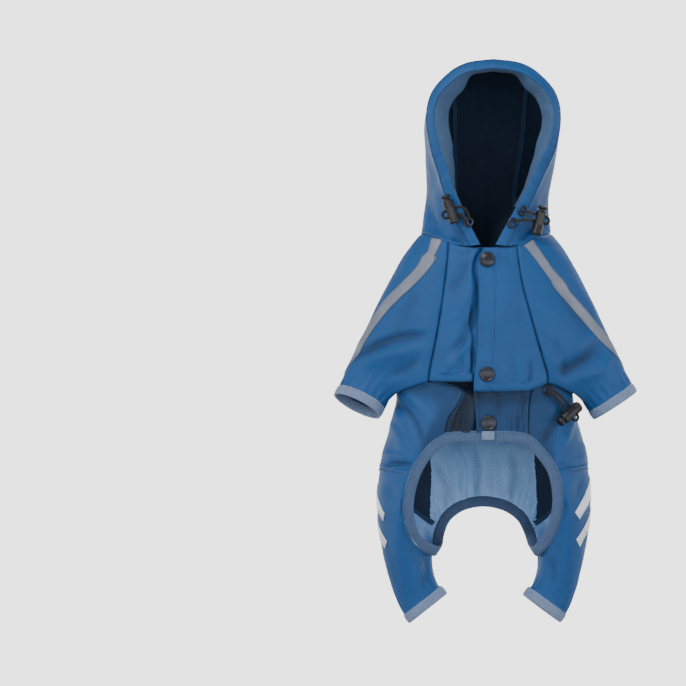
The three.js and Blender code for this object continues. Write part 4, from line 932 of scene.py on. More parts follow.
# Reflective tape: glass beads in grey or near-white film
def bead_look(name, dark, light, rough):
    look = Look(name, rough, metallic=0.15, spec=0.6)
    beads = look.node("TexVoronoi", Vector=look.place, Scale=1 / (0.5 * MM)).outputs["Distance"]
    cloud = look.noise(12, 3.0)
    colour = look.blend(look.total(cloud, 0.7, beads, 0.3), linear(dark), linear(light))
    return look.finish(colour, look.math("ADD", beads, look.math("MULTIPLY", cloud, 0.6)), 0.25, 0.1)


def hard_look(name, dark, light, rough, metallic, grain_mm, bump):
    look = Look(name, rough, metallic=metallic)
    wear = look.noise(3.5, 4.0)
    grain = look.noise(grain_mm, 2.0)
    colour = look.blend(wear, linear(dark), linear(light))
    return look.finish(colour, look.math("ADD", grain, wear), bump, 0.08)


def cord_look(name):
    look = Look(name, 0.85, sheen=0.2, spec=0.3)
    strands = look.math("MULTIPLY", look.wave("DIAGONAL", 0.8, 1.5), look.wave("Z", 0.7, 1.5))
    colour = look.blend(strands, linear((14, 15, 17)), linear((52, 54, 60)))
    return look.finish(colour, strands, 0.8, 0.3)


BLUE = cloth_look("blue_cloth", (12, 66, 120), (22, 84, 146), 0.25)
LINING = cloth_look("pale_inside", (112, 158, 218), (146, 190, 242), 0.8, rough=0.5, sheen=0.2)
# Shaded copy of the inside cloth: painted shade inside the hood, sleeves and fronts and at the lower back's
# sides
SHADED_INSIDE = cloth_look("painted_shade_inside", (16, 34, 56), (26, 50, 78), 0.35, rough=0.75)
# Hood facing: the inside cloth darkened as painted shade
FACING = cloth_look("hood_facing", (54, 78, 112), (72, 100, 138), 0.35, rough=0.75)
ALLOWANCE = cloth_look("seam_allowance", (34, 58, 90), (48, 78, 116), 0.35, rough=0.75)
BINDING = binding_look("binding_knit", (84, 104, 142), (146, 166, 200))
BINDING_DARK = binding_look("opening_knit", (50, 72, 108), (98, 122, 162))
TAPE_LOOK = bead_look("grey_tape", (104, 110, 128), (136, 142, 162), 0.5)
BAR_LOOK = bead_look("pale_bars", (214, 218, 232), (244, 246, 252), 0.4)
METAL = hard_look("dark_metal", (34, 35, 42), (70, 72, 84), 0.34, 0.6, 0.6, 0.2)
PLASTIC = hard_look("black_plastic", (18, 18, 20), (40, 40, 44), 0.38, 0.0, 0.4, 0.25)
CORD_LOOK = cord_look("black_cord")
THREAD = cloth_look("thread", (26, 68, 112), (44, 98, 152), 0.2, rough=0.7, thread=0.3)
THREAD_MID = cloth_look("mid_thread", (40, 58, 88), (66, 88, 124), 0.2, rough=0.7, thread=0.3)
THREAD_DARK = cloth_look("dark_thread", (18, 44, 78), (28, 60, 98), 0.2, rough=0.7, thread=0.3)
THREAD_PALE = cloth_look("pale_thread", (140, 156, 182), (172, 186, 206), 0.2, rough=0.7, thread=0.3)
GREY_THREAD = cloth_look("grey_thread", (96, 98, 110), (124, 126, 138), 0.2, rough=0.7, thread=0.3)


# Meshes
def put(name, data):
    made = bpy.data.objects.new(name, data)
    bpy.context.scene.collection.objects.link(made)
    return made


def add_mesh(name, points, faces, looks, which=None, stands_for=()):
    mesh = bpy.data.meshes.new(name)
    faces = faces.tolist() if isinstance(faces, np.ndarray) else faces
    mesh.from_pydata((np.asarray(points).reshape(-1, 3) * MM).tolist(), [], faces)
    for look in looks:
        mesh.materials.append(look)
    if which is not None:
        mesh.polygons.foreach_set("material_index", np.asarray(which, np.int32))
    mesh.polygons.foreach_set("use_smooth", np.ones(len(mesh.polygons), bool))
    mesh.update()
    piece = put(name, mesh)
    if stands_for:
        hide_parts(*stands_for)
    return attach(piece, "root")


def quads(rows, count, closed_rows=False, closed_columns=False, flip=False):
    r = np.arange(rows if closed_rows else rows - 1)[:, None]
    c = np.arange(count if closed_columns else count - 1)[None, :]
    r, c = np.broadcast_arrays(r, c)
    r1, c1 = (r + 1) % rows, (c + 1) % count
    around = [r * count + c, r * count + c1, r1 * count + c1, r1 * count + c]
    faces = np.stack(around, axis=-1).reshape(-1, 4)
    return faces[:, ::-1] if flip else faces


def normals_of(grid, closed):
    along_a = np.roll(grid, -1, 1) - np.roll(grid, 1, 1) if closed else np.gradient(grid, axis=1)
    return unit(np.cross(along_a, np.gradient(grid, axis=0)))


# How far each point of a line lies from its start, along the line
def run_of(line):
    return np.append(0, np.cumsum(np.linalg.norm(np.diff(line, axis=0), axis=-1)))


# How far each point of a grid lies from its four edges, along the cloth
def edges_of(grid):
    down = np.linalg.norm(np.diff(grid, axis=0), axis=-1)
    down = np.vstack([np.zeros((1, grid.shape[1])), np.cumsum(down, axis=0)])
    across = np.linalg.norm(np.diff(grid, axis=1), axis=-1)
    across = np.hstack([np.zeros((len(grid), 1)), np.cumsum(across, axis=1)])
    return {"top": down, "foot": down[-1] - down, "first": across, "last": across[:, -1:] - across}


# Evens out a grid along its rows, except at its edges, so that its turns from one side to the next are round
def relaxed(grid, closed, passes, near=9):
    smooth = grid.copy()
    for _ in range(passes):
        ahead, behind = np.roll(smooth, -1, 1), np.roll(smooth, 1, 1)
        if not closed:
            ahead[:, -1], behind[:, 0] = smooth[:, -1], smooth[:, 0]
            ahead[:, 0] = behind[:, 0]
            behind[:, -1] = ahead[:, -1]
        smooth = 0.5 * smooth + 0.25 * (ahead + behind)
    away = edges_of(grid)
    return lerp(grid, smooth, ease(away["top"] / near) * ease(away["foot"] / near))


# A soft fold for each row of a table: from x, z to x, z, width, height, seen from the front or the back
def creases(points, table):
    x, z = points[..., 0], points[..., 2]
    lift = np.zeros(x.shape)
    for x0, z0, x1, z1, width, height in table:
        run = math.hypot(x1 - x0, z1 - z0)
        t = ((x - x0) * (x1 - x0) + (z - z0) * (z1 - z0)) / run**2
        off = ((x - x0) * (z1 - z0) - (z - z0) * (x1 - x0)) / run
        off = off + 0.07 * run * np.sin(math.pi * clamp(t)) + 0.25 * width * wander(points, 14, 3)
        side = np.where(off > 0, width, 0.6 * width)
        fade = ease((t + 0.2) / 0.45) * ease((1.2 - t) / 0.45)
        ridge = 0.4 * np.exp(-(((off - 1.9 * width) / (1.3 * width)) ** 2))
        lift += CREASE * height * fade * (np.exp(-((off / side) ** 2)) - ridge)
    return lift


# Gathers that fan out from an edge: irregular in spacing, height and reach
def gathers(along_edge, distance, pitch, height, reach, seed=0):
    strip = np.stack([along_edge, 0 * along_edge, 0 * along_edge], axis=-1)
    shift = 0.55 * wander(strip, 3.1 * pitch, seed)
    tall = 0.75 + 0.45 * wander(strip, 2.3 * pitch, seed + 1)
    far = reach * (0.8 + 0.5 * wander(strip, 1.7 * pitch, seed + 2))
    phase = 2 * math.pi * (along_edge / pitch + shift)
    wave = np.cos(phase) + 0.35 * np.cos(2.3 * phase + 1.1) * np.exp(-distance / (0.4 * reach))
    near = 1 - np.exp(-((distance / 3.2) ** 2))
    return height * tall * wave * near * np.exp(-distance / np.maximum(far, 2))


# A thin sheet of cloth on a panel's form, with its seams drawn in and painted shade stored on its points for
# its folds; gives back its outer side
def sheet(
    name,
    grid,
    outward,
    lift=0.0,
    seams=(),
    closed=False,
    looks=(BLUE, LINING),
    thick=THIN,
    stands_for=None,
    puckers=PUCKER,
    shade=0.0,
    other=None,
):
    normal = normals_of(grid, closed) * outward
    away = edges_of(grid)
    height = np.zeros(grid.shape[:2]) + lift
    for seam in seams:
        height -= SEAM_DIP * np.exp(-((away[seam] / SEAM_ROLL) ** 2))
        height += puckers * wander(grid, 4.5, 5) * np.exp(-away[seam] / 4.5)
    outer = grid + normal * height[..., None]
    normal = normals_of(outer, closed) * outward
    inner = outer - thick * normal
    rows, count = grid.shape[:2]
    size = rows * count
    face = quads(rows, count, closed_columns=closed, flip=outward < 0)
    faces = [face, face[:, ::-1] + size]
    number = np.arange(size).reshape(rows, count)
    lines = [number[0], number[-1][::-1]]
    if closed:
        lines = [np.append(line, line[0]) for line in lines]
    else:
        lines += [number[:, 0][::-1], number[:, -1]]
    for line in lines:
        rim = np.stack([line[1:], line[:-1], line[:-1] + size, line[1:] + size], axis=-1)
        faces.append(rim[:, ::-1] if outward < 0 else rim)
    which = np.zeros(sum(len(f) for f in faces), int)
    which[len(face) : 2 * len(face)] = 1
    if other is not None:
        which[len(face) : 2 * len(face)][other[: rows - 1, : count if closed else count - 1].ravel()] = 2
    stands_for = (name,) if stands_for is None else stands_for
    points = np.concatenate([outer, inner])
    piece = add_mesh(f"{name}_cloth", points, np.concatenate(faces), looks, which, stands_for)
    # Painted shade: darker where each side of the cloth sinks into a fold, plus the given shade, which is
    # painted shadow
    painted_shade = [0.85 * clamp((side * height - 0.2) / PAINTED_SHADE_DEEP) + shade for side in (-1, 1)]
    darken = piece.data.attributes.new("painted_shade", "FLOAT", "POINT")
    darken.data.foreach_set("value", clamp(np.stack(painted_shade)).ravel().astype(np.float32))
    return piece, outer, normal


# The line on a sheet that keeps one distance from an edge, with the way out of the cloth
def inset(made, edge, distance):
    _, grid, normal = made
    if edge in ("first", "last"):
        grid, normal = grid.transpose(1, 0, 2), normal.transpose(1, 0, 2)
    if edge in ("foot", "last"):
        grid, normal = grid[::-1], normal[::-1]
    down = edges_of(grid)["top"]
    places, ways = [], []
    for c in range(grid.shape[1]):
        row = min(float(np.interp(distance, down[:, c], np.arange(len(down)))), len(down) - 1.001)
        i = int(row)
        places.append(mix(grid[i, c], grid[i + 1, c], row - i))
        ways.append(mix(normal[i, c], normal[i + 1, c], row - i))
    return np.array(places), unit(np.array(ways))


def along(values, length, at):
    return np.stack([np.interp(at, length, values[:, k]) for k in range(3)], axis=-1)


# Stitches along lines, each a small raised grain of thread
def stitches(name, lines, look=THREAD, long=STITCH, gap=STITCH_GAP, wide=0.55, high=0.34, slot="cloth"):
    sections = [(-0.5, 0.3), (-0.36, 1.0), (0.36, 1.0), (0.5, 0.3)]
    angles = np.radians([-20, 35, 90, 145, 200])
    shape = [(u, s * math.cos(t) / 2, s * math.sin(t)) for u, s in sections for t in angles]
    shape = np.array(shape) * [long, wide, high]
    under = [[0, 5, 9, 4], [5, 10, 14, 9], [10, 15, 19, 14]]
    face = np.concatenate([quads(len(sections), len(angles)), under])
    points, faces = [], []
    total = 0
    for places, ways in lines:
        length = run_of(places)
        at = np.arange(0.5 * (long + gap), length[-1] - 0.5 * long, long + gap)
        if not len(at):
            continue
        centre = along(places, length, at)
        ahead = unit(along(places, length, at + long / 2) - along(places, length, at - long / 2))
        up = unit(along(ways, length, at))
        side = np.cross(up, ahead)
        made = centre[:, None] + shape[None, :, 0:1] * ahead[:, None] + shape[None, :, 1:2] * side[:, None]
        made = made + shape[None, :, 2:3] * up[:, None]
        points.append(made.reshape(-1, 3))
        faces.append((face[None] + total + len(shape) * np.arange(len(at))[:, None, None]).reshape(-1, 4))
        total += len(shape) * len(at)
    return add_mesh(name, np.concatenate(points), np.concatenate(faces), [look])


# A band swept along a line or round a loop; sections is rows of points across it
def loop_band(name, sections, look, closed=True, stands_for=()):
    rows, count = sections.shape[:2]
    faces = quads(rows, count, closed_rows=closed, closed_columns=True)
    middle = sections.mean(axis=1)
    cross = np.cross(sections[1, 0] - sections[0, 0], sections[0, 1] - sections[0, 0])
    if cross.dot(sections[0, 0] - middle[0]) > 0:
        faces = faces[:, ::-1]
    faces = faces.tolist()
    if not closed:
        faces += [list(range(count)), list(range((rows - 1) * count, rows * count))[::-1]]
    made = add_mesh(name, sections, faces, [look], stands_for=stands_for)


# Camera, light and floor
def light(name, place, target, size, watts):
    lamp = bpy.data.lights.new(name, "AREA")
    lamp.shape = "DISK"
    lamp.size = size
    lamp.energy = watts
    made = put(name, lamp)
    made.location = place
    made.rotation_euler = (Vector(target) - Vector(place)).to_track_quat("-Z", "Y").to_euler()


def camera():
    data = bpy.data.cameras.new("camera")
    data.lens = CAMERA_LENS
    data.sensor_width = CAMERA_SENSOR
    made = put("camera", data)
    made.location = CAMERA_PLACE
    made.rotation_euler = (math.pi / 2, 0, 0)
    bpy.context.scene.camera = made


# White all round, strong in a level band and weak above and below it
def surroundings():
    world = bpy.data.worlds.new("studio")
    world.use_nodes = True
    nodes, links = world.node_tree.nodes, world.node_tree.links
    split = nodes.new("ShaderNodeSeparateXYZ")
    links.new(nodes.new("ShaderNodeTexCoord").outputs["Generated"], split.inputs[0])
    height = nodes.new("ShaderNodeMath")
    height.operation = "ABSOLUTE"
    links.new(split.outputs["Z"], height.inputs[0])
    band = nodes.new("ShaderNodeMapRange")
    band.interpolation_type = "SMOOTHSTEP"
    ends = (*WORLD_BAND_EDGES, WORLD_BAND, WORLD_REST)
    for socket, value in zip(("From Min", "From Max", "To Min", "To Max"), ends):
        band.inputs[socket].default_value = value
    links.new(height.outputs[0], band.inputs["Value"])
    nodes["Background"].inputs["Color"].default_value = (1.0, 1.0, 1.0, 1.0)
    links.new(band.outputs["Result"], nodes["Background"].inputs["Strength"])
    bpy.context.scene.world = world


def floor():
    look = Look("pale_floor", 0.9)
    colour = look.blend(look.noise(300, 2.0), (0.88, 0.88, 0.88, 1), (0.93, 0.93, 0.93, 1))
    mesh = bpy.data.meshes.new("floor")
    turn = np.linspace(0, 2 * math.pi, FLOOR_SIDES, endpoint=False)
    edge = vec(FLOOR_RADIUS * np.cos(turn), FLOOR_RADIUS * np.sin(turn), FLOOR_HEIGHT)
    mesh.from_pydata(edge.tolist(), [], [list(range(FLOOR_SIDES))])
    mesh.materials.append(look.finish(colour, look.noise(4), 0.05, 0.1))
    put("floor", mesh)


camera()
surroundings()
for name, values in LIGHTS.items():
    light(name, *values)
floor()


# Cords: each runs from its eyelet through the lock, round a loop, and back
def rounded(places, step=1.2):
    places = np.array(places, float)
    gaps = np.linalg.norm(np.diff(places, axis=0), axis=-1) ** 0.5
    keys = np.append(0, np.cumsum(gaps))
    count = int(np.linalg.norm(np.diff(places, axis=0), axis=-1).sum() / step)
    return curve(keys, places, np.linspace(0, keys[-1], count + 1))


def cord(name):
    route = rounded(CORDS[name])
    line = bpy.data.curves.new(f"{name}_cord", "CURVE")
    line.dimensions = "3D"
    line.bevel_depth = CORD / 2 * MM
    line.bevel_resolution = 4
    line.use_fill_caps = True
    spline = line.splines.new("POLY")
    spline.points.add(len(route) - 1)
    spline.points.foreach_set("co", np.hstack([route * MM, np.ones((len(route), 1))]).ravel())
    spline.use_smooth = True
    line.materials.append(CORD_LOOK)
    made = put(f"{name}_cord", line)
    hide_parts(f"cord_{name}")
    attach(made, "root")


# Lathe work
def revolve(profile, at, up, across, sides=48):
    third = np.cross(across, up)
    angles = np.linspace(0, 2 * math.pi, sides, endpoint=False)
    last = len(profile) - 1
    profile = curve(range(last + 1), np.array(profile, float), np.linspace(0, last, 5 * last + 1))
    radius, height = profile[:, 0:1], profile[:, 1:2]
    ring_way = np.cos(angles)[None, :, None] * across + np.sin(angles)[None, :, None] * third
    return at + radius[..., None] * ring_way + height[..., None] * up


def turned_piece(name, profile, at, up, look, stands_for=(), closed=False):
    up = unit(np.asarray(up, float))
    across = unit(np.cross(up, [0.0, 0.3, 1.0]))
    grid = revolve(profile, np.asarray(at, float), up, across)
    rows, count = grid.shape[:2]
    faces = quads(rows, count, closed_rows=closed, closed_columns=True, flip=True)
    return add_mesh(name, grid, faces, [look], stands_for=stands_for)


# Points and ways out at fractions of a made sheet's rows and columns
def sample(made, b, a, closed=False):
    _, grid, normal = made
    rows, count = grid.shape[:2]
    r = np.clip(np.asarray(b, float) * (rows - 1), 0, rows - 1.001)
    c = np.asarray(a, float) * (count if closed else count - 1)
    c = c % count if closed else np.clip(c, 0, count - 1.001)
    i, j = r.astype(int), c.astype(int)
    j1 = (j + 1) % count
    u, v = (r - i)[..., None], (c - j)[..., None]

    def at(values):
        low = mix(values[i, j], values[i, j1], v)
        return mix(low, mix(values[i + 1, j], values[i + 1, j1], v), u)

    return at(grid), unit(at(normal))


# Cloth laid on other cloth
def laid(name, places, outward, lift, looks=(BLUE, BLUE), thick=0.5, seams=()):
    points, normal = places
    grid = points + normal * np.asarray(lift, float)[..., None]
    return sheet(name, grid, outward, 0.0, seams, looks=looks, thick=thick)


def uneven(points, coarse=0.5, fine=0.12):
    return coarse * wander(points, 26, 1) + 0.5 * coarse * wander(points, 12, 2) + fine * wander(points, 5, 4)


def facing(normal, front):
    return ease(0.5 + (-1.4 if front else 1.4) * normal[..., 1])


# Soft folds seen from the front: from x, z to x, z, width, height
CHEST_FOLDS = {
    "right": [
        (34.8, -100, 33.5, -124, 3.2, -1.3),
        (16, -88, 22, -122, 7, -0.7),
        (24, -14, 13, -60, 8, 0.6),
        (12, -14, 26, -20, 5, -0.5),
        (30, -34, 22, -70, 7, -0.5),
    ],
    "left": [
        (-10.5, -26, -13, -78, 2.4, -1.5),
        (-13, -88, -15, -118, 2.6, -1.7),
        (-11.5, -56, -27, -92, 4, -1.9),
        (-14, -76, -34, -108, 5.5, 1.1),
        (-16, -18, -33, -44, 6, -0.9),
        (-12, -34, -31, -68, 6, 0.9),
        (-24, -96, -20, -117, 4, -1.0),
        (-36, -90, -37, -117, 5, 0.8),
        (-12, -9, -26, -13, 3, -0.6),
    ],
}
BELLY_FOLDS = {
    "right": [
        (16, -124, 20, -150, 4, 0.9),
        (28, -126, 26, -154, 3.5, -0.9),
        (6, -126, 8, -146, 4, -0.5),
    ],
    "left": [
        (-38, -124, -34, -146, 5, -0.9),
        (-12, -130, -15, -156, 4, 0.8),
        (-26, -132, -24, -154, 3.5, -0.8),
    ],
}
# On each sleeve, in front and behind
SLEEVE_FOLDS = {
    "right": [
        (92, -88, 58, -112, 6, -1.7),
        (104, -100, 72, -118, 6, 1.0),
        (58, -40, 86, -84, 9, -0.8),
        (52, -84, 66, -112, 5, -1.0),
        (66, -30, 90, -62, 6, 0.6),
    ],
    "left": [
        (-112, -96, -52, -79, 6.5, -2.2),
        (-106, -104, -64, -90, 6, 1.1),
        (-60, -44, -80, -78, 8, -0.8),
        (-56, -96, -78, -114, 5, -1.1),
        (-62, -28, -86, -58, 6, 0.6),
    ],
}
SLEEVE_FOLDS_BACK = {
    "right": [
        (66, -50, 76, -104, 6, -1.9),
        (86, -70, 98, -112, 6, -1.0),
        (74, -92, 104, -104, 6, 0.9),
        (70, -118, 96, -108, 4, -0.9),
    ],
    "left": [
        (-66, -50, -75, -106, 6, -1.9),
        (-88, -72, -99, -114, 6, -1.1),
        (-72, -96, -102, -100, 6, 0.8),
        (-72, -120, -94, -112, 4, -0.8),
    ],
}
# On the lower back, in front of the sides and behind
SIDE_FOLDS = [
    (-75, -134, -52, -172, 4, -1.5),
    (-66, -128, -44, -160, 4, 1.2),
    (-81, -150, -66, -186, 5, 1.0),
    (-86, -186.5, -60, -187.5, 2.6, -1.7),
    (-86, -178, -64, -181, 3.5, 0.9),
    (63, -140, 44, -166, 4.5, -1.4),
    (72, -146, 58, -176, 4.5, 1.3),
    (84, -188, 58, -187, 2.8, -1.5),
    (80, -170, 86, -186, 5, 0.9),
]
RUMP_FOLDS = [
    (-22, -176, -17, -217, 4.5, -1.5),
    (-8, -170, -7, -217, 5, 1.0),
    (9, -182, 7, -217, 4.5, -1.3),
    (26, -178, 20, -219, 5, 1.1),
    (38, -190, 30, -226, 4, -1.2),
    (-40, -186, -31, -226, 4.5, 1.1),
    (58, -150, 50, -192, 8, -0.7),
    (-60, -146, -54, -192, 8, -0.7),
    (-76, -150, -80, -186, 5, 0.8),
    (76, -150, 80, -186, 5, 0.8),
]
BACK_FOLDS = [
    (-40, -74, -46, -110, 8, -0.6),
    (42, -70, 47, -108, 8, -0.6),
    (-20, -80, 24, -88, 9, 0.45),
    (-46, -30, -36, -60, 7, 0.4),
    (46, -32, 38, -64, 7, 0.4),
]
LEG_FOLDS = {
    "right": [
        (78, -200, 62, -224, 4.5, -1.8),
        (86, -214, 64, -240, 5, 1.1),
        (72, -246, 60, -292, 6, 0.7),
        (52, -262, 56, -294, 4, -0.9),
        (86, -250, 76, -286, 6, -0.6),
    ],
    "left": [
        (-81, -204, -66, -228, 4.5, -2.0),
        (-86, -222, -66, -244, 5, 1.2),
        (-72, -248, -62, -292, 6, 0.7),
        (-50, -262, -54, -294, 4, -0.9),
        (-85, -252, -74, -286, 6, -0.6),
    ],
}
LEG_FOLDS_BACK = {
    "right": [(52, -226, 66, -264, 6, -1.0), (70, -212, 80, -260, 6, 0.8), (50, -262, 52, -290, 4, -0.8)],
    "left": [
        (-52, -226, -66, -264, 6, -1.0),
        (-70, -212, -80, -260, 6, 0.8),
        (-48, -260, -52, -290, 4, -0.8),
    ],
}
HOOD_FOLDS = [
    (44, 4, 53, 46, 5, -0.9),
    (36, 2, 44, 30, 4, 0.7),
    (-38, 4, -50, 44, 5, -0.9),
    (-32, 2, -41, 26, 4, 0.7),
    (58, 60, 50, 100, 8, 0.5),
    (-56, 56, -48, 98, 8, 0.5),
]
HOOD_FOLDS_BACK = [
    (30, 10, 37, 60, 7, -0.5),
    (-30, 10, -34, 64, 7, -0.5),
    (52, 20, 57, 70, 7, 0.7),
    (-50, 20, -54, 72, 7, 0.7),
    (-14, 4, 14, 10, 5, -0.4),
]


# Hood, in three panels and a rim
def hood_panel(name, start, end, count, seams):
    a = np.linspace(start, end, count)
    grid = hood(a, np.linspace(0, 1, HOOD_ROWS))
    normal = normals_of(grid, False)
    lift = uneven(grid, 0.45) + creases(grid, HOOD_FOLDS) * facing(normal, True)
    lift += creases(grid, HOOD_FOLDS_BACK) * facing(normal, False)
    away = edges_of(grid)
    lift *= 1 - np.exp(-away["foot"] / 3)
    lift += gathers(away["first"][-1:], away["foot"], 7, 0.35, 7, 3)
    # The hood's inside takes the shaded copy of the inside cloth, as painted shade
    return sheet(name, grid, 1, lift, seams, looks=(BLUE, SHADED_INSIDE))


crown = hood_panel("hood_crown", -CROWN, CROWN, CROWN_COLUMNS, ("first", "last", "foot"))
hood_right = hood_panel("hood_side_right", CROWN, 0.999, HOOD_SIDE_COLUMNS, ("first", "foot"))
hood_left = hood_panel("hood_side_left", -0.999, -CROWN, HOOD_SIDE_COLUMNS, ("last", "foot"))


def hood_rim():
    shares = np.linspace(-1, 1, 320)
    inner, outer = rim_edge(shares, False), rim_edge(shares, True)
    following = np.gradient(inner, axis=0)
    wide = outer - inner
    out = unit(np.cross(following, wide))
    half = np.linalg.norm(wide, axis=-1, keepdims=True) / 2 + 0.35
    angles = np.linspace(0, 2 * math.pi, 24, endpoint=False)
    drawn = np.exp(-(((1 - np.abs(shares)) / 0.3) ** 2))
    strip = np.stack([shares * 260, 0 * shares, 0 * shares], axis=-1)
    full = 1.25 + (0.18 + 0.35 * drawn) * wander(strip, 4.2, 7) + 0.12 * wander(strip, 13, 8)
    sections = []
    for angle in angles:
        reach = power(math.cos(angle), 0.8)
        high = power(math.sin(angle), 0.8) * (1 - 0.35 * clamp(reach))
        sections.append((inner + outer) / 2 + unit(wide) * half * reach + out * (full * high)[:, None])
    sections = np.stack(sections, axis=1)
    loop_band("hood_rim_cloth", sections, BLUE, closed=False, stands_for=("hood_rim",))
    return out, inner, outer, full


rim_out, rim_inner, rim_outer, rim_full = hood_rim()


# The hem of the rim's casing, which shows inside the hood on both sides; its colour is the inside cloth
# darkened as painted shade
def hood_facing():
    shares = np.linspace(-0.9, 0.9, 200)
    start = rim_edge(shares, False)
    inwards = unit(vec(-start[:, 0], 0, 0.35 * (80 - start[:, 2])))
    part = ease((np.abs(shares) - 0.1) / 0.2) * ease((0.86 - np.abs(shares)) / 0.25)
    wide = 1.5 + (9.5 - 1.5 * np.sign(shares)) * part * (1 + 0.12 * wander(start, 18, 4))
    rows = []
    for u in np.linspace(0, 1, 16):
        rows.append(start + inwards * (wide * u)[:, None] + vec(0, 11, 0) * u**1.4 + vec(0, 1.2, 0))
    grid = np.stack(rows)
    lift = 0.5 * wander(grid, 9, 5) + 0.25 * wander(grid, 4, 6)
    sheet("hood_facing", grid, 1, lift, looks=(FACING, FACING), thick=0.5, stands_for=())


hood_facing()


# Front panels
def front(side):
    a = np.linspace(0, 1, FRONT_COLUMNS)
    parts = [
        np.stack([chest(side, a, b) for b in np.linspace(0, 1, CHEST_STEPS)]),
        np.stack([chest_fold(side, a, row) for row in np.linspace(0, len(FOLD) - 1, FOLD_STEPS)[1:]]),
        np.stack([belly(side, a, b) for b in np.linspace(0, 1, BELLY_STEPS)[1:]]),
    ]
    grid = np.concatenate(parts)
    away = edges_of(grid)
    lift = uneven(grid, 0.4)
    lift[:CHEST_STEPS] += creases(parts[0], CHEST_FOLDS[side])
    lift[BELLY_START:] += creases(parts[2], BELLY_FOLDS[side])
    lift *= (1 - 0.6 * np.exp(-away["top"] / 5)) * (1 - np.exp(-away["last"] / 4))
    lift *= 1 - 0.8 * np.exp(-away["first"] / 3)
    lift += gathers(away["first"][-1:], away["foot"], 5.2, 1.25, 13, 11)
    lift += gathers(away["first"][:1], away["top"], 6.5, 0.35, 8, 14)
    if side == "right":
        lift += 0.55 * (1 - ease((away["first"] - 12.3) / 1.4))
    # Painted shadow: the belly is darker, most just under the chest's fold and towards the sides; the fold's
    # lower rows darken towards the belly; the left panel darkens along its free edge under the overlap
    down = np.arange(len(grid))[:, None] - BELLY_START
    below = np.exp(-np.maximum(down, 0) / 16.0)
    off_middle = ease((np.abs(grid[..., 0] - 13) - 14) / 22)
    shade = np.where(down >= 0, 0.5 + 0.5 * below + 0.6 * off_middle, 0.8 * ease((down + 22) / 12.0))
    shade = shade + 0.5 * np.exp(-away["first"] / 2.5) * (side == "left")
    seams = ("top", "last")
    # The fronts' insides take the shaded copy of the inside cloth, as painted shade
    return sheet(f"front_{side}", grid, -keep(side), lift, seams, looks=(BLUE, SHADED_INSIDE), shade=shade)


front_right = front("right")
front_left = front("left")


# Fractions across and down a panel's grid
def fractions(size):
    return np.linspace(0, 1, size[0])[None, :], np.linspace(0, 1, size[1])[:, None]


# Back panels
def back_top():
    grid = upper_back(*fractions(UPPER_BACK_GRID))
    away = edges_of(grid)
    lift = uneven(grid, 0.35) + creases(grid, BACK_FOLDS)
    lift += gathers(away["first"][:1], away["top"], 8, 0.25, 8, 21)
    right = gathers(away["top"], away["first"], 9, 0.22, 6, 23)
    left = gathers(away["top"], away["last"], 9, 0.22, 6, 25)
    lift += right + left
    return sheet("back_upper", grid, -1, lift, ("top", "first", "last"))


def back_bottom():
    a, b = fractions(LOWER_BACK_GRID)
    grid = lower_back(a, b)
    grid = relaxed(grid, False, 120, 4)
    normal = -normals_of(grid, False)
    away = edges_of(grid)
    turned = SIDE_ANGLE["right"] + a * BACK_SPAN
    angle = np.where(turned <= 180, turned, 360 - turned)
    on_hip = ease((angle - HIP_ANGLES[0]) / 3) * ease((HIP_ANGLES[1] - angle) / 3)
    rump = ease((angle - HIP_ANGLES[1]) / 4)
    lift = uneven(grid, 0.4) + creases(grid, SIDE_FOLDS) * facing(normal, True)
    lift += creases(grid, RUMP_FOLDS) * facing(normal, False)
    lift *= 1 - 0.7 * np.exp(-away["foot"] / 4)
    lift *= (1 - np.exp(-away["first"] / 4)) * (1 - np.exp(-away["last"] / 4))
    edge = away["first"][-1:]
    lift += gathers(edge, away["foot"], 5.2, 1.35, 17, 31) * (1 - on_hip) * (1 - rump)
    lift += gathers(edge, away["foot"], 8.2, 1.7, 19, 34) * rump
    lift -= SEAM_DIP * on_hip * np.exp(-((away["foot"] / SEAM_ROLL) ** 2))
    lift += 0.3 * on_hip * wander(grid, 4.5, 5) * np.exp(-away["foot"] / 5)
    # Painted shade: darker towards both side seams. The inside faces at the far sides, and where they face
    # forward, take the shaded copy of the inside cloth as painted shadow
    shade = 0.5 * ease((34 - np.minimum(away["first"], away["last"])) / 18)
    painted_shadow_inside = (np.abs(grid[..., 0]) > 44 + 2.5 * wander(grid, 34, 9)) | (normal[..., 1] < 0.2)
    looks = (BLUE, LINING, SHADED_INSIDE)
    return sheet("back_lower", grid, -1, lift, ("first", "last"), looks=looks, shade=shade, other=painted_shadow_inside)


back_upper = back_top()
back_lower = back_bottom()


# Sleeves and legs: a runs round, b down
def tube_grid(surface, size):
    turns = np.linspace(0, 1, size[0], endpoint=False)
    return surface(turns[None, :], np.linspace(0, 1, size[1])[:, None])


def sleeve_panel(side):
    grid = relaxed(tube_grid(sleeve(side), SLEEVE_GRID), True, 12)
    outward = keep(side)
    normal = normals_of(grid, True) * outward
    away = edges_of(grid)
    lift = uneven(grid, 0.5) + creases(grid, SLEEVE_FOLDS[side]) * facing(normal, True)
    lift += creases(grid, SLEEVE_FOLDS_BACK[side]) * facing(normal, False)
    lift *= (1 - np.exp(-away["top"] / 6)) * (1 - 0.7 * np.exp(-away["foot"] / 5))
    lift += gathers(away["first"][-1:], away["foot"], 6.4, 0.85, 12, 41)
    # The sleeves' insides take the shaded copy of the inside cloth, as painted shade
    looks = (BLUE, SHADED_INSIDE)
    return sheet(f"sleeve_{side}", grid, outward, lift, ("top",), closed=True, looks=looks, puckers=0.3)


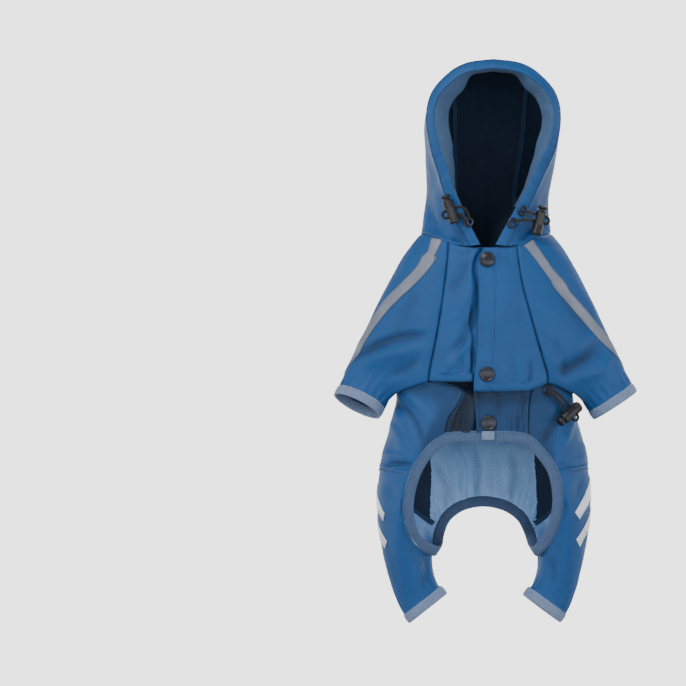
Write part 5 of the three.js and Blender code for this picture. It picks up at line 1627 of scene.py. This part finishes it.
def leg_panel(side):
    grid = relaxed(tube_grid(leg(side), LEG_GRID), True, 260, 2.5)
    outward = -keep(side)
    normal = normals_of(grid, True) * outward
    away = edges_of(grid)
    turns = np.linspace(0, 1, LEG_GRID[0], endpoint=False)
    open_part = ease((turns - LEG_SEAM_TURN) / 0.03) * ease((1 - turns) / 0.03)
    lift = uneven(grid, 0.45) + creases(grid, LEG_FOLDS[side]) * facing(normal, True)
    lift += creases(grid, LEG_FOLDS_BACK[side]) * facing(normal, False)
    lift *= (1 - np.exp(-away["top"] / 5)) * (1 - 0.7 * np.exp(-away["foot"] / 5))
    lift += gathers(away["first"][-1:], away["foot"], 6.6, 0.75, 11, 51)
    lift += gathers(away["first"][:1], away["top"], 5.6, 0.8, 9, 54) * open_part
    lift -= SEAM_DIP * (1 - open_part) * np.exp(-((away["top"] / SEAM_ROLL) ** 2))
    lift *= 0.1 + 0.9 * ease((np.minimum(turns, 1 - turns) - 0.03) / 0.12)
    return sheet(f"leg_{side}", grid, outward, lift, (), closed=True)


sleeves = {side: sleeve_panel(side) for side in SIDES}
legs = {side: leg_panel(side) for side in SIDES}


# Bindings: soft flattened bands with a slight ripple
def band_sections(edge, way, out, wide, thick, seed, ripple=0.22):
    length = run_of(edge)
    strip = np.stack([length, 0 * length, 0 * length], axis=-1)
    sections = []
    for angle in np.linspace(0, 2 * math.pi, 20, endpoint=False):
        u = 0.5 * wide * (1 + power(math.cos(angle), 0.7))
        w = 0.5 * thick * power(math.sin(angle), 0.75)
        wave = ripple * wander(strip + u * 0.35, 3.4, seed) + 0.7 * ripple * wander(strip, 11, seed + 1)
        groove = 0.25 * math.exp(-(((u - 1.3) / 0.5) ** 2)) * math.copysign(1, w)
        sections.append(edge + way * u + out * (w - groove + wave)[:, None])
    return np.stack(sections, axis=1)


def binding_stitches(edge, way, out, u, lift):
    places = edge + way * u + out * lift
    return np.vstack([places, places[:1]]), np.vstack([out, out[:1]])


def opening_binding():
    turns = np.linspace(0, 1, 420, endpoint=False)
    way, out = opening_way(turns), opening_out(turns)
    edge = opening(turns) - way * 1.3 - out * 0.65
    sections = band_sections(edge, way, out, 9.3, 2.7, 61)
    loop_band("opening_binding_band", sections, BINDING_DARK, stands_for=("opening_binding",))
    return [binding_stitches(edge, way, out, 1.4, 1.15), binding_stitches(edge, way, -out, 1.4, 1.15)]


def ring_binding(name, spec, seed):
    angles = np.linspace(0, 360, 180, endpoint=False)
    way = np.broadcast_to(unit(np.array(spec["axis"], float)), (180, 3))
    out = unit(ring(spec, angles, 0.0, 1.0) - ring(spec, angles))
    edge = ring(spec, angles, -1.2, -0.65)
    sections = band_sections(edge, way, out, 8.6, 2.6, seed)
    loop_band(f"{name}_band", sections, BINDING, stands_for=(name,))
    return [binding_stitches(edge, way, out, 1.3, 1.15)]


BINDING_STITCH = {"long": 1.7, "gap": 0.9, "wide": 0.45, "high": 0.3, "slot": "binding"}
stitches("opening_stitches", opening_binding(), THREAD_MID, **BINDING_STITCH)
pale_lines = []
for side, seed in (("right", 71), ("left", 76)):
    pale_lines += ring_binding(f"cuff_{side}", CUFF[side], seed)
    pale_lines += ring_binding(f"hem_{side}", HEM_RING[side], seed + 3)
stitches("binding_stitches", pale_lines, THREAD_PALE, **BINDING_STITCH)


def tab():
    x, y, z = TAB["at"]
    wide, deep, high = TAB["size"]
    along_x = np.linspace(-0.5, 0.5, 18)
    sections = []
    for angle in np.linspace(0, 2 * math.pi, 24, endpoint=False):
        round_end = 1 - 0.12 * np.abs(2 * along_x) ** 6
        forward = y + 0.5 * deep * power(math.sin(angle), 0.5) * round_end
        up = z + 0.5 * high * power(math.cos(angle), 0.35) * round_end
        sections.append(vec(x + wide * along_x, forward, up))
    sections = np.stack(sections, axis=1)
    loop_band("binding_tab_band", sections, BINDING, closed=False, stands_for=("binding_tab",))


tab()


# Tapes down the sleeves and bars on the legs
def band_laid(name, made, surface, outward, path, width, look, lift=0.62):
    a, s = np.broadcast_arrays(np.linspace(-0.5, 0.5, 9)[None, :], np.linspace(0, 1, 90)[:, None])
    turn, b = band_on(surface, outward, path, width, a, s)
    places = sample(made, b, turn % 1, closed=True)
    return laid(name, places, 1, np.full(a.shape, lift), (look, look), 0.45)


tape_lines = []
for side in SIDES:
    on_sleeve = (sleeves[side], sleeve(side), keep(side))
    on_leg = (legs[side], leg(side), -keep(side))
    tape = band_laid(f"tape_{side}", *on_sleeve, TAPE[side], TAPE_WIDTH, TAPE_LOOK)
    tape_lines += [inset(tape, "first", 0.9), inset(tape, "last", 0.9)]
    for i, path in enumerate(BARS[side]):
        band_laid(f"bar_{side}_{i + 1}", *on_leg, path, BAR_WIDTH, BAR_LOOK)
stitches("tape_stitches", tape_lines, GREY_THREAD, long=1.9, gap=0.8, wide=0.4, high=0.22, slot="tape")


# Flap over the upper back, and the strip that carries the waist cord
def leash_flap():
    a, b = fractions(FLAP_GRID)
    x = mix(FLAP["right"], FLAP["left"], a)
    behind = 180 - np.abs(angle_at(x, NECK[-1][1]))
    neck = columns(NECK, behind)[0]
    z = mix(neck - FLAP["head"], FLAP["foot"], b)
    behind = np.sign(x) * (180 - np.abs(angle_at(x, z)))
    turned = behind % 360
    share = (turned - ARMHOLE_BACK) / (360 - 2 * ARMHOLE_BACK)
    top = columns(NECK, np.abs(behind))[0]
    down = (top - z) / (top - columns(WAIST, np.abs(behind))[0])
    lift = 0.95 + FLAP["lift"] * b * b + 0 * a
    lift = lift + 0.25 * np.sin(5 * a + 1) * b**3
    return laid("leash_flap", sample(back_upper, down, share), -1, lift, (BLUE, LINING), thick=0.9)


def waist_tunnel():
    a, b = fractions(TUNNEL_GRID)
    z = mix(TUNNEL["top"], TUNNEL["foot"], b) + 0 * a
    turned = mix(TUNNEL["from"], 360 - TUNNEL["from"], a) + 0 * b
    angle = np.where(turned > 180, 360 - turned, turned)
    signed = np.where(turned > 180, -angle, angle)
    waist = waist_at(signed)
    neck = columns(NECK, angle)[0]
    across = (turned - ARMHOLE_BACK) / (360 - 2 * ARMHOLE_BACK)
    upper, up_way = sample(back_upper, (neck - z) / (neck - waist[..., 2]), across)
    foot = np.where((turned > 180)[..., None], lower_edge("left", angle)[0], lower_edge("right", angle)[0])
    share = (turned - SIDE_ANGLE["right"]) / BACK_SPAN
    lower, low_way = sample(back_lower, (waist[..., 2] - z) / np.linalg.norm(waist - foot, axis=-1), share)
    blend = ease((waist[..., 2] - z) / 6 + 0.5)
    lift = 0.6 + 0.75 * np.sin(math.pi * b) ** 0.6 + 0.25 * wander(waist + vec(0 * z, 0 * z, z), 7, 6)
    places = (lerp(upper, lower, blend), unit(lerp(up_way, low_way, blend)))
    return laid("waist_tunnel", places, -1, lift, seams=("top", "foot"))


flap = leash_flap()
tunnel = waist_tunnel()


# Seam allowances inside, which close each seam from behind
def allowance(name, made, edge):
    places, ways = inset(made, edge, 0.0)
    within = inset(made, edge, 3.0)[0]
    across = unit(places - within)
    shifts = np.linspace(-3.2, 2.6, 7)
    rows = [places + across * u - ways * (THIN + 0.25 + 0.03 * u * u) for u in shifts]
    sheet(name, np.stack(rows), 1, 0.0, looks=(ALLOWANCE, ALLOWANCE), thick=0.3, stands_for=())


# Topstitching
def part_of(line, start, end):
    count = len(line[0])
    chosen = slice(int(start * count), max(int(end * count), 2))
    return line[0][chosen], line[1][chosen]


dark_lines = [
    inset(flap, "top", 1.6),
    inset(flap, "top", 4.6),
    inset(flap, "first", 5),
    inset(flap, "last", 5),
    part_of(inset(flap, "foot", 5), 0.1, 0.9),
    inset(tunnel, "top", 2),
    inset(tunnel, "foot", 2),
]
stitches("back_stitches", dark_lines, THREAD_DARK, long=2.3, gap=0.7, wide=0.6, high=0.34)
blue_lines = [
    inset(crown, "first", STITCH_INSET),
    inset(crown, "last", STITCH_INSET),
    inset(hood_right, "first", STITCH_INSET),
    inset(hood_left, "last", STITCH_INSET),
    inset(crown, "foot", STITCH_INSET),
    inset(hood_right, "foot", STITCH_INSET),
    inset(hood_left, "foot", STITCH_INSET),
    inset(back_upper, "top", STITCH_INSET),
    part_of(inset(front_right, "first", 13), 0, 0.55),
    inset(front_right, "first", 1.6),
    part_of(inset(front_left, "last", STITCH_INSET), 0.55, 1),
    part_of(inset(front_right, "last", STITCH_INSET), 0.55, 1),
    part_of(inset(front_left, "first", 1.6), 0, 1),
]
stitches("blue_stitches", blue_lines)
rim_line = (rim_outer - unit(rim_outer - rim_inner) * 1.2) + rim_out * (rim_full * 0.85)[:, None]
stitches("rim_stitches", [(rim_line, rim_out)], THREAD_DARK, wide=0.5)

for name, made, edge in (
    ("crown_right", crown, "last"),
    ("crown_left", crown, "first"),
    ("hood_foot", crown, "foot"),
    ("hood_foot_right", hood_right, "foot"),
    ("hood_foot_left", hood_left, "foot"),
    ("belly_right", front_right, "last"),
    ("belly_left", front_left, "last"),
    ("raglan_right", back_upper, "first"),
    ("raglan_left", back_upper, "last"),
    ("waist", back_upper, "foot"),
):
    allowance(f"allowance_{name}", made, edge)


# Seams inside the opening, sewn over with cross stitches
def overlock(side):
    share = np.linspace(0.02, 0.98, 110)
    middle = hip(side, share)
    way = unit(np.gradient(middle, axis=0))
    inside = unit(np.array([keep(side) * 40.0, 0, -215]) - middle)
    inside = unit(inside - way * np.sum(inside * way, axis=-1, keepdims=True))
    across = np.cross(way, inside)
    rows = [middle + inside * (1.6 + 0.5 * (1 - abs(u))) + across * 2.6 * u for u in np.linspace(-1, 1, 7)]
    grid = np.stack(rows, axis=1)
    sheet(f"seam_{side}", grid, -1, 0.0, looks=(ALLOWANCE, ALLOWANCE), thick=0.3, stands_for=())
    lines = []
    for i in range(2, 106, 3):
        for u, v in ((-0.8, 0.8), (0.8, -0.8)):
            pair = [i, i + 2]
            ends = middle[pair] + across[pair] * 2.6 * np.array([[u], [v]]) + inside[pair] * 2.2
            lines.append((ends, inside[pair]))
    return lines


cross_lines = []
for side in SIDES:
    cross_lines += overlock(side)
stitches("cross_stitches", cross_lines, THREAD_MID, long=4.4, gap=0.2, wide=0.45, high=0.3)


# Snaps and eyelets: on the place of their solids, along their thin way
def seat_of(node):
    corners = np.array([v.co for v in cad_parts[node].data.vertices]) / MM
    middle = corners.mean(axis=0)
    way = np.linalg.svd(corners - middle)[2][2]
    way = way if way[1] < 0 else -way
    along_way = (corners - middle) @ way
    return middle + way * along_way.min(), way


# Profiles turned round an axis: radius, height
SNAP_PROFILE = [
    (0, 0),
    (5.9, 0),
    (6.3, 0.5),
    (6.3, 1.2),
    (5.9, 1.75),
    (5.2, 1.95),
    (4.7, 1.7),
    (4.2, 1.65),
    (3, 1.95),
    (1.5, 2.1),
    (0.01, 2.15),
]
EYELET_PROFILE = [
    (2.5, 0.1),
    (3.4, 0),
    (4.4, 0),
    (4.6, 0.25),
    (4.2, 0.8),
    (3.5, 1.15),
    (2.8, 0.95),
    (2.45, 0.5),
]
BUTTON_PROFILE = [
    (0.01, 0),
    (2.5, 0),
    (2.6, 0.8),
    (2.7, 1.4),
    (3.8, 2),
    (4.2, 2.6),
    (4.1, 3.4),
    (3.5, 4),
    (2, 4.25),
    (0.01, 4.3),
]
for name in SNAPS:
    place, way = seat_of(name)
    turned_piece(f"{name}_cap", SNAP_PROFILE, place, way, METAL, (name,))
for name in EYELETS:
    place, way = seat_of(name)
    turned_piece(f"{name}_ring", EYELET_PROFILE, place, way, METAL, (name,), closed=True)


# Cord locks: a ribbed barrel round the slot, and its button
BARREL_HALF = 10
BARREL_SIDES = 64


def lock(name):
    spec = LOCKS[name]
    up = unit(np.array(spec["axis"], float))
    across = np.array(spec["slot"], float)
    across = unit(across - up * across.dot(up))
    third = np.cross(across, up)
    heights = np.concatenate([[-10, -9.9, -9.6, -9.1], np.linspace(-8.6, 9.0, 89), [9.4, 9.8, 10]])
    radius = np.interp(heights, [-10, -9.6, -8.6, 9.0, 9.6, 10], [3.3, 4.1, 4.5, 4.5, 4.2, 3.6])
    angles = np.linspace(0, 2 * math.pi, BARREL_SIDES, endpoint=False)
    offset = spec["offset"]
    rib = 0.16 * np.cos(2 * math.pi * heights / 1.6)[:, None] * (np.abs(heights - offset) > 4.8)[:, None]
    edge = np.exp(-(((np.abs(heights - offset) - 4.3) / 0.5) ** 2))[:, None]
    facing_slot = np.exp(-((np.sin(angles) / 0.55) ** 2))[None, :]
    inside_slot = ((np.abs(heights - offset) < 3.6)[:, None]) * ease((facing_slot - 0.35) / 0.3)
    shape = radius[:, None] + rib * (np.abs(heights) < 8.4)[:, None]
    shape = shape + 0.22 * edge * facing_slot - 1.9 * inside_slot
    middle = np.array(spec["at"], float)
    round_way = np.cos(angles)[None, :, None] * across + np.sin(angles)[None, :, None] * third
    grid = middle + up * heights[:, None, None] + shape[..., None] * round_way
    foot = np.broadcast_to(middle - up * BARREL_HALF, (1, BARREL_SIDES, 3))
    head = np.broadcast_to(middle + up * BARREL_HALF, (1, BARREL_SIDES, 3))
    grid = np.concatenate([foot, grid, head])
    faces = quads(len(grid), BARREL_SIDES, closed_columns=True, flip=True)
    add_mesh(f"{name}_lock", grid, faces, [PLASTIC], stands_for=(f"lock_{name}",))
    top = middle + up * (BARREL_HALF + 0.35)
    turned_piece(f"{name}_button", BUTTON_PROFILE, top, up, PLASTIC, (f"button_{name}",))


for name in LOCKS:
    lock(name)
for name in CORDS:
    cord(name)
